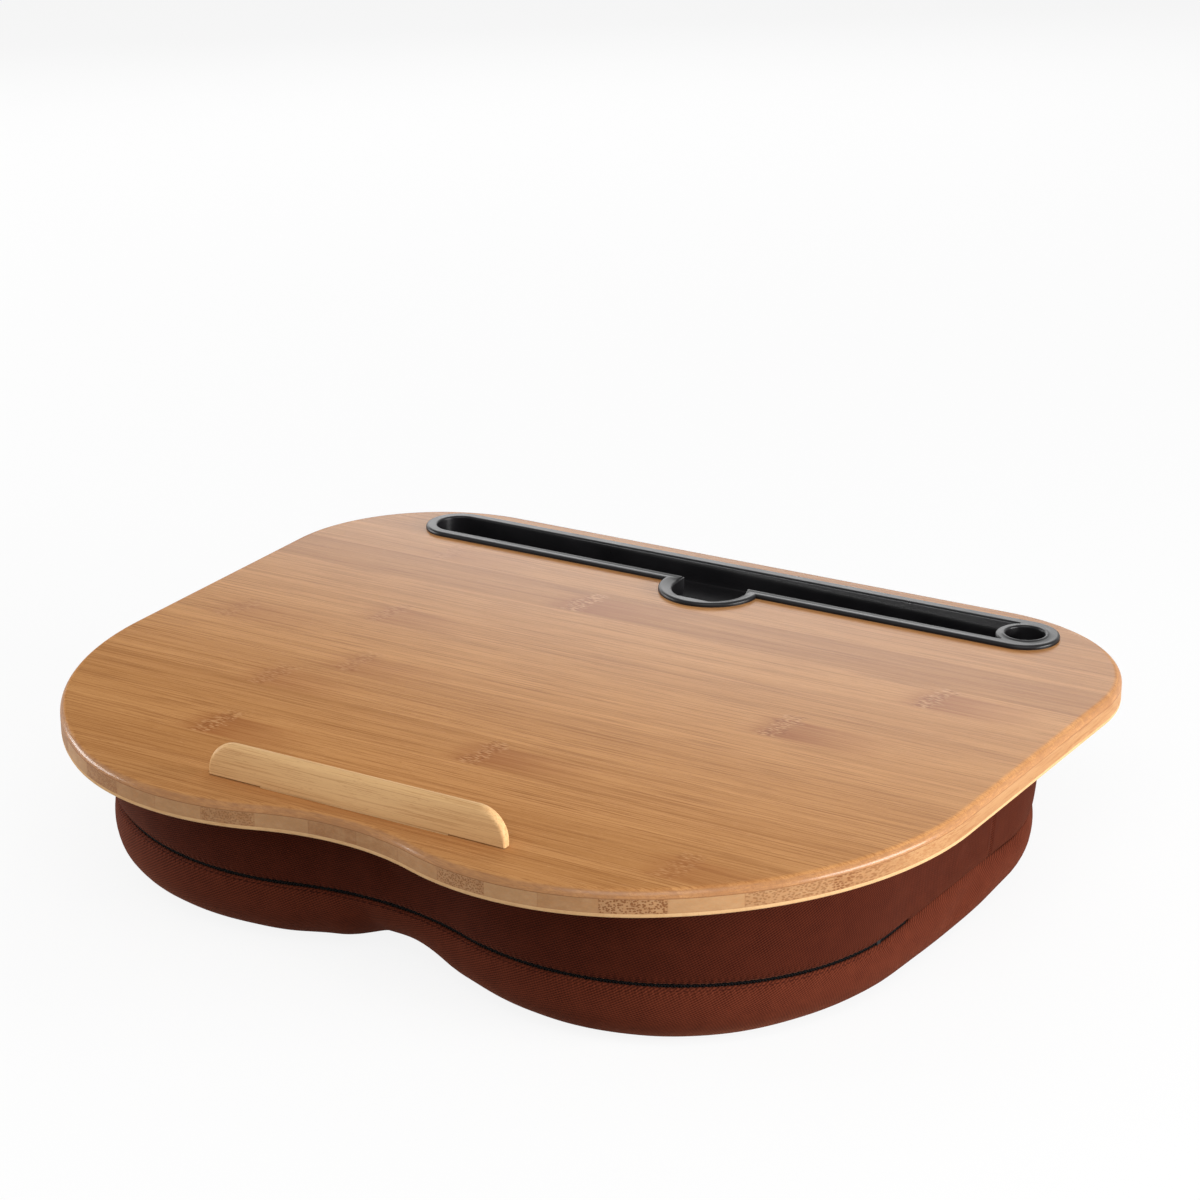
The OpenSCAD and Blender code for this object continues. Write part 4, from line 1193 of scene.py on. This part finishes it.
def make_band(line, half):
    """Both side bands in one ring, from the hem under the board to the edge turned in at the zip."""
    hem = band_surface(line, 0.0)
    rows = []
    for d in (HEM, 1.2):
        g = moved(hem, line, d)
        g[:, 2] = UNDER - 0.02
        rows.append(g)
    for s in BAND_ROWS:
        g = band_surface(line, float(s))
        near = (1 - s) * (UNDER - seam_z(line[:, 0]))
        g[:, 2] += half * np.exp(-near / 2.0)
        rows.append(g)
    edge = rows[-1]
    rows += [moved(edge, line, d, up) for d, up in TURNED_IN]
    return sheet_object("cover_band", rows, SHADED_BAND_MAT)


def make_panel(line, half):
    """The bottom panel, from the edge turned in at the zip to its centre."""
    edge = panel_surface(line, 0.0)
    rows = [moved(edge, line, d, -half - up) for d, up in TURNED_IN[::-1]]
    for a in PANEL_ROWS:
        g = panel_surface(line, float(a))
        near = math.sin(a) * seam_z(line[:, 0])
        g[:, 2] -= half * np.exp(-near / 2.0)
        g[:, 2] = np.maximum(g[:, 2], 0.0)
        rows.append(g)
    edge = rows[-1]
    flat_from = len(rows) - LEVEL_UV_ROWS
    for d in FLAT_ROWS:
        flat = moved(edge, line, d)
        flat[:, 2] = edge[:, 2] * max(0.0, 1 - d / FLAT_START) ** 2
        rows.append(flat)
    return sheet_object("cover_panel", rows, PANEL_MAT, PANEL_CENTRE, flat_from)


def make_cover():
    half = slit_half(pad_line)
    pieces = ((make_band(pad_line, half), ("front_band", "rear_band")),
              (make_panel(pad_line, half), ("bottom_panel",)))
    for obj, nodes in pieces:
        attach(obj, "desk")
        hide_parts(*nodes)


make_cover()


# Repeated small things
def make_repeat_group():
    """Sets a piece on every point, turned to the point's own directions and a little at random."""
    g = bpy.data.node_groups.new("Repeat on points", "GeometryNodeTree")
    for n, k, v in (("Points", "NodeSocketGeometry", None), ("Piece", "NodeSocketObject", None),
                    ("Turn", "NodeSocketFloat", 0.1), ("Seed", "NodeSocketInt", SEED),
                    ("Material", "NodeSocketMaterial", None)):
        socket = g.interface.new_socket(n, in_out="INPUT", socket_type=k)
        if v is not None:
            socket.default_value = v
    g.interface.new_socket("Geometry", in_out="OUTPUT", socket_type="NodeSocketGeometry")
    t = Tree(g)
    gin, gout = t.node("NodeGroupInput"), t.node("NodeGroupOutput")

    def named(name):
        n = t.node("GeometryNodeInputNamedAttribute", data_type="FLOAT_VECTOR")
        n.inputs["Name"].default_value = name
        return n.outputs["Attribute"]

    def limit(sign):
        """The largest turn to one side, about each axis."""
        n = t.node("ShaderNodeVectorMath", operation="SCALE")
        n.inputs[0].default_value = (sign, sign, sign)
        t.link(gin.outputs["Turn"], n.inputs["Scale"])
        return n.outputs[0]

    first = t.node("FunctionNodeAlignRotationToVector", axis="X")
    t.link(named("along"), first.inputs["Vector"])
    second = t.node("FunctionNodeAlignRotationToVector", axis="Z", pivot_axis="X")
    t.link(first.outputs[0], second.inputs["Rotation"])
    t.link(named("out"), second.inputs["Vector"])
    turn = t.node("FunctionNodeRandomValue", data_type="FLOAT_VECTOR")
    t.link(limit(-1), turn.inputs["Min"])
    t.link(limit(1), turn.inputs["Max"])
    t.link(gin.outputs["Seed"], turn.inputs["Seed"])
    rotate = t.node("FunctionNodeRotateRotation", rotation_space="LOCAL")
    t.link(second.outputs[0], rotate.inputs["Rotation"])
    t.link(turn.outputs[0], rotate.inputs["Rotate By"])
    info = t.node("GeometryNodeObjectInfo")
    info.inputs["As Instance"].default_value = True
    t.link(gin.outputs["Piece"], info.inputs["Object"])
    place = t.node("GeometryNodeInstanceOnPoints")
    t.link(gin.outputs["Points"], place.inputs["Points"])
    t.link(info.outputs["Geometry"], place.inputs["Instance"])
    t.link(rotate.outputs[0], place.inputs["Rotation"])
    real = t.node("GeometryNodeRealizeInstances")
    t.link(place.outputs[0], real.inputs[0])
    coat = t.node("GeometryNodeSetMaterial")
    t.link(real.outputs[0], coat.inputs["Geometry"])
    t.link(gin.outputs["Material"], coat.inputs["Material"])
    t.link(coat.outputs[0], gout.inputs["Geometry"])
    return g


REPEAT = make_repeat_group()


def capsule(name, length, width, height, bow, sides=8, steps=6):
    """A small thread or tooth along X, with rounded ends, bowed outward at its middle."""
    b = Build()
    rings = []
    for i in range(1, steps):
        a = math.pi * i / steps
        x, r, rise = -math.cos(a) * length / 2, math.sin(a) ** 0.45, bow * math.sin(a) ** 2
        rings.append(b.points([(x, width / 2 * r * math.cos(q), rise + height / 2 * r * math.sin(q))
                               for q in np.linspace(0, TURN, sides, endpoint=False)]))
    b.walls(rings, inward=True)
    for ring, x, flip in ((rings[0], -length / 2, False), (rings[-1], length / 2, True)):
        tip = b.points([(x, 0, 0)])[0]
        for i in range(sides):
            k = (i + 1) % sides
            b.faces.append((tip, ring[i], ring[k]) if flip else (tip, ring[k], ring[i]))
    mesh = bpy.data.meshes.new(name)
    mesh.from_pydata(b.verts, [], b.faces)
    mesh.shade_smooth()
    return linked(name, mesh)


def repeat(name, points, along, out, piece, mat, turn, seed):
    """Places the piece on all points by Geometry Nodes and returns one plain mesh object."""
    mesh = bpy.data.meshes.new(name + "_points")
    mesh.from_pydata([tuple(p * MM) for p in points], [], [])
    for key, values in (("along", along), ("out", out)):
        layer = mesh.attributes.new(key, "FLOAT_VECTOR", "POINT")
        layer.data.foreach_set("vector", np.array(values, np.float32).ravel())
    carrier = linked(name + "_points", mesh)
    mod = carrier.modifiers.new("repeat", "NODES")
    mod.node_group = REPEAT
    values = {"Piece": piece, "Turn": turn, "Seed": seed, "Material": mat}
    for item in REPEAT.interface.items_tree:
        if item.in_out == "INPUT" and item.name in values:
            mod[item.identifier] = values[item.name]
    bpy.context.view_layer.update()
    graph = bpy.context.evaluated_depsgraph_get()
    result = bpy.data.meshes.new_from_object(carrier.evaluated_get(graph))
    result.name = name
    bpy.data.objects.remove(carrier)
    bpy.data.meshes.remove(mesh)
    if not result.materials:
        result.materials.append(mat)
    return linked(name, result)


def drop_piece(obj):
    mesh = obj.data
    bpy.data.objects.remove(obj)
    bpy.data.meshes.remove(mesh)


def plain_material(name, dark, light, roughness, level, size=900.0, metal=0.0, bump=0.1):
    """A simple material with a fine cloud between two tones."""
    mat, t, shader = material(name)
    cloud = t.noise(position(t), (size, size, size), detail=3.0, rough=0.6)
    t.link(t.mix(t.range(cloud, 0.35, 0.65), (*dark, 1), (*light, 1)), shader.inputs["Base Color"])
    plain_gloss(shader, roughness, level)
    shader.inputs["Metallic"].default_value = metal
    bumped(t, shader, cloud, bump, 0.0001)
    return mat


THREAD_MAT = plain_material("brown_thread", (0.022, 0.004, 0.003), (0.045, 0.009, 0.005), 0.8, 0.03)
TEETH_MAT = plain_material("black_coil", (0.003, 0.003, 0.003), (0.007, 0.006, 0.006), 0.6, 0.06)
TAPE_MAT = plain_material("black_tape", (0.004, 0.0035, 0.0035), (0.009, 0.008, 0.008), 0.85, 0.04, 2200.0)
METAL_MAT = plain_material("dark_metal", (0.050, 0.048, 0.046), (0.095, 0.090, 0.086), 0.32, 0.5,
                           size=500.0, metal=0.9, bump=0.06)
STOP_MAT = plain_material("black_stop", (0.006, 0.006, 0.006), (0.012, 0.011, 0.011), 0.55, 0.1, size=500.0)
STEEL_MAT = plain_material("staple_steel", (0.42, 0.42, 0.43), (0.58, 0.58, 0.59), 0.30, 0.5,
                           size=700.0, metal=1.0, bump=0.05)


def along_edge(places):
    """Points and outward directions of the cushion's edge, at distances from the middle of the front."""
    full = np.vstack([pad_line, pad_line[:1]])
    where = np.mod(places, ROUND)
    line = np.column_stack([np.interp(where, LENGTHS, full[:, c]) for c in range(4)])
    line[:, 2:] /= np.linalg.norm(line[:, 2:], axis=1)[:, None]
    return line


def on_edge(line, inward, z):
    """Points at a distance in from the edge, and the directions along the edge and outwards there."""
    x, y, nx, ny = line.T
    level = np.zeros(len(line))
    pts = np.column_stack([x - inward * nx, y - inward * ny, z])
    return pts, np.column_stack([-ny, nx, level]), np.column_stack([nx, ny, level])


# Zip: from one tooth to the next, how far the teeth lie behind the cloth's edge and from the zip's middle,
# and how far they slant along the zip
TEETH_PITCH, TEETH_IN, TEETH_OFF, TEETH_SLANT = 1.15, 0.75, 0.30, 0.35
# Lengths of the zip without teeth at its two ends
LEFT_FREE, RIGHT_FREE = 3.2, 1.5
# Cross-section of a tape: distance in from the edge and distance from the zip's middle
TAPE_SECTION = [(3.05, 0.12), (3.1, 1.2), (3.2, 2.6), (3.3, 5.0), (3.75, 5.0), (3.65, 2.6), (3.55, 1.2),
                (3.5, 0.12)]
# Share of that section's height: 1 is the side above the zip, -1 the side below it
TAPE_SHARE = {1: 1, -1: 0.75}
TAPE_POINTS = 420


def make_teeth():
    """Two rows of teeth in the slit."""
    start, end = -ZIP_END + LEFT_FREE, ZIP_END + ZIP_LONGER - RIGHT_FREE
    count = int((end - start) / TEETH_PITCH)
    tooth = capsule("tooth", length=1.25, width=0.62, height=0.85, bow=0.05)
    for name, side, node in (("zip_teeth_upper", 1, "zip_coil_upper"),
                             ("zip_teeth_lower", -1, "zip_coil_lower")):
        line = along_edge(start + TEETH_PITCH * (np.arange(count) + (0.5 if side > 0 else 0.0)))
        z = seam_z(line[:, 0]) + TEETH_OFF * side
        pts, tangent, out = on_edge(line, SEAM_IN + SEAM_PULL + TEETH_IN, z)
        slant = tangent * TEETH_SLANT + np.array([0, 0, 1.0]) * side
        obj = repeat(name, pts, slant, out, tooth, TEETH_MAT, 0.05, SEED + side)
        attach(obj, "desk")
        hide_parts(node)
    drop_piece(tooth)


def make_tapes():
    """The tapes that carry the teeth behind the cloth."""
    line = along_edge(np.linspace(-ZIP_END + 1, ZIP_END + ZIP_LONGER, TAPE_POINTS))
    last = len(line) - 1
    for name, side, node in (("zip_band_upper", 1, "zip_tape_upper"),
                             ("zip_band_lower", -1, "zip_tape_lower")):
        b = Build()
        rows = [b.ring(line[:, :2] - e * line[:, 2:], seam_z(line[:, 0]) + side * dz * TAPE_SHARE[side])
                for e, dz in TAPE_SECTION]
        for p, q in zip(rows, rows[1:] + rows[:1]):
            for i in range(last):
                f = (p[i], q[i], q[i + 1], p[i + 1])
                b.faces.append(f if side < 0 else f[::-1])
        for i, flip in ((0, side < 0), (last, side > 0)):
            end = tuple(r[i] for r in rows)
            b.faces.append(end[::-1] if flip else end)
        obj = b.object(name, TAPE_MAT, 50)
        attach(obj, "desk")
        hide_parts(node)


def make_stitches():
    """Rows of stitches above and below the zip and a little past its ends."""
    thread = capsule("thread", length=2.0, width=0.36, height=0.30, bow=0.10)
    every = np.arange(-ZIP_END - PAST_ZIP, ZIP_END + PAST_ZIP, NEEDLE)
    every = every[np.abs(np.abs(every) - SIDE_SEAM) > SEAM_FREE]
    inward = SEAM_IN + SEAM_PULL * math.exp(-STITCH_OFF / SEAM_SOFT) - 0.02
    for name, side in (("stitches_upper", 1), ("stitches_lower", -1)):
        line = along_edge(every + (NEEDLE / 2 if side > 0 else NEEDLE / 2 - ROW_SHIFT))
        z = seam_z(line[:, 0]) + side * (STITCH_OFF + EDGE_OFF)
        pts, tangent, out = on_edge(line, inward, z)
        obj = repeat(name, pts, tangent, out, thread, THREAD_MAT, 0.06, SEED + 3)
        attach(obj, "desk")
    drop_piece(thread)


make_teeth()
make_tapes()
make_stitches()


# Shapes kept from the frame, with materials of this script
KEPT = {"zip_slider": METAL_MAT, "zip_pull": METAL_MAT, "staples": STEEL_MAT,
        "zip_stop_left": STOP_MAT, "zip_stop_right": STOP_MAT}


def paint_kept():
    for obj in bpy.context.scene.objects:
        for node, mat in KEPT.items():
            if obj.type == "MESH" and obj.name.split(".")[0].endswith(node):
                for slot in obj.material_slots:
                    slot.material = mat


paint_kept()


# Inner pillow
# Its top: distance in from the cushion's edge, and depth under the board
PILLOW_TOP = [(22, 0.6), (15, 2.1), (5.1, 2.1)]
# Its rows behind the band, as shares of the band's height, and behind the panel's roll, in degrees
PILLOW_SHARES = (0.25, 0.45, 0.6, 0.8)
PILLOW_ANGLES = (18, 30, 45, 60, 75, 90)
# Its rows at the zip: distance in from the cushion's edge, and distance above and below the seam
PILLOW_ZIP_IN, PILLOW_ZIP_OFF = 6.1, 3.4
# How far it keeps off the band and the panel, and the width of its last level row
BAND_GAP, PANEL_GAP, PILLOW_FLAT = 2.6, 3.0, 26


def make_pillow():
    """The inner pillow, seen only through an open cover."""
    mat = plain_material("liner_cloth", (0.62, 0.61, 0.58), (0.80, 0.79, 0.76), 0.9, 0.2)
    line = pad_line[::8]
    rows = [np.column_stack([inset(line, e), np.full(len(line), UNDER - down)]) for e, down in PILLOW_TOP]
    rows += [band_surface(line, s, BAND_GAP, False) for s in PILLOW_SHARES]
    for dz in (PILLOW_ZIP_OFF, -PILLOW_ZIP_OFF):
        rows.append(np.column_stack([inset(line, PILLOW_ZIP_IN), seam_z(line[:, 0]) + dz]))
    rows += [panel_surface(line, math.radians(a), PANEL_GAP, False) for a in PILLOW_ANGLES]
    last = moved(rows[-1], line, PILLOW_FLAT)
    last[:, 2] = PANEL_GAP
    rows.append(last)
    b = Build()
    rings = [b.ring(g[:, :2], g[:, 2]) for g in rows]
    b.walls(rings)
    b.cap([rings[0]], True)
    b.cap([rings[-1]], False)
    obj = b.object("inner_pillow", mat, 60)
    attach(obj, "desk")
    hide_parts("pillow_liner", "bead_fill")


make_pillow()
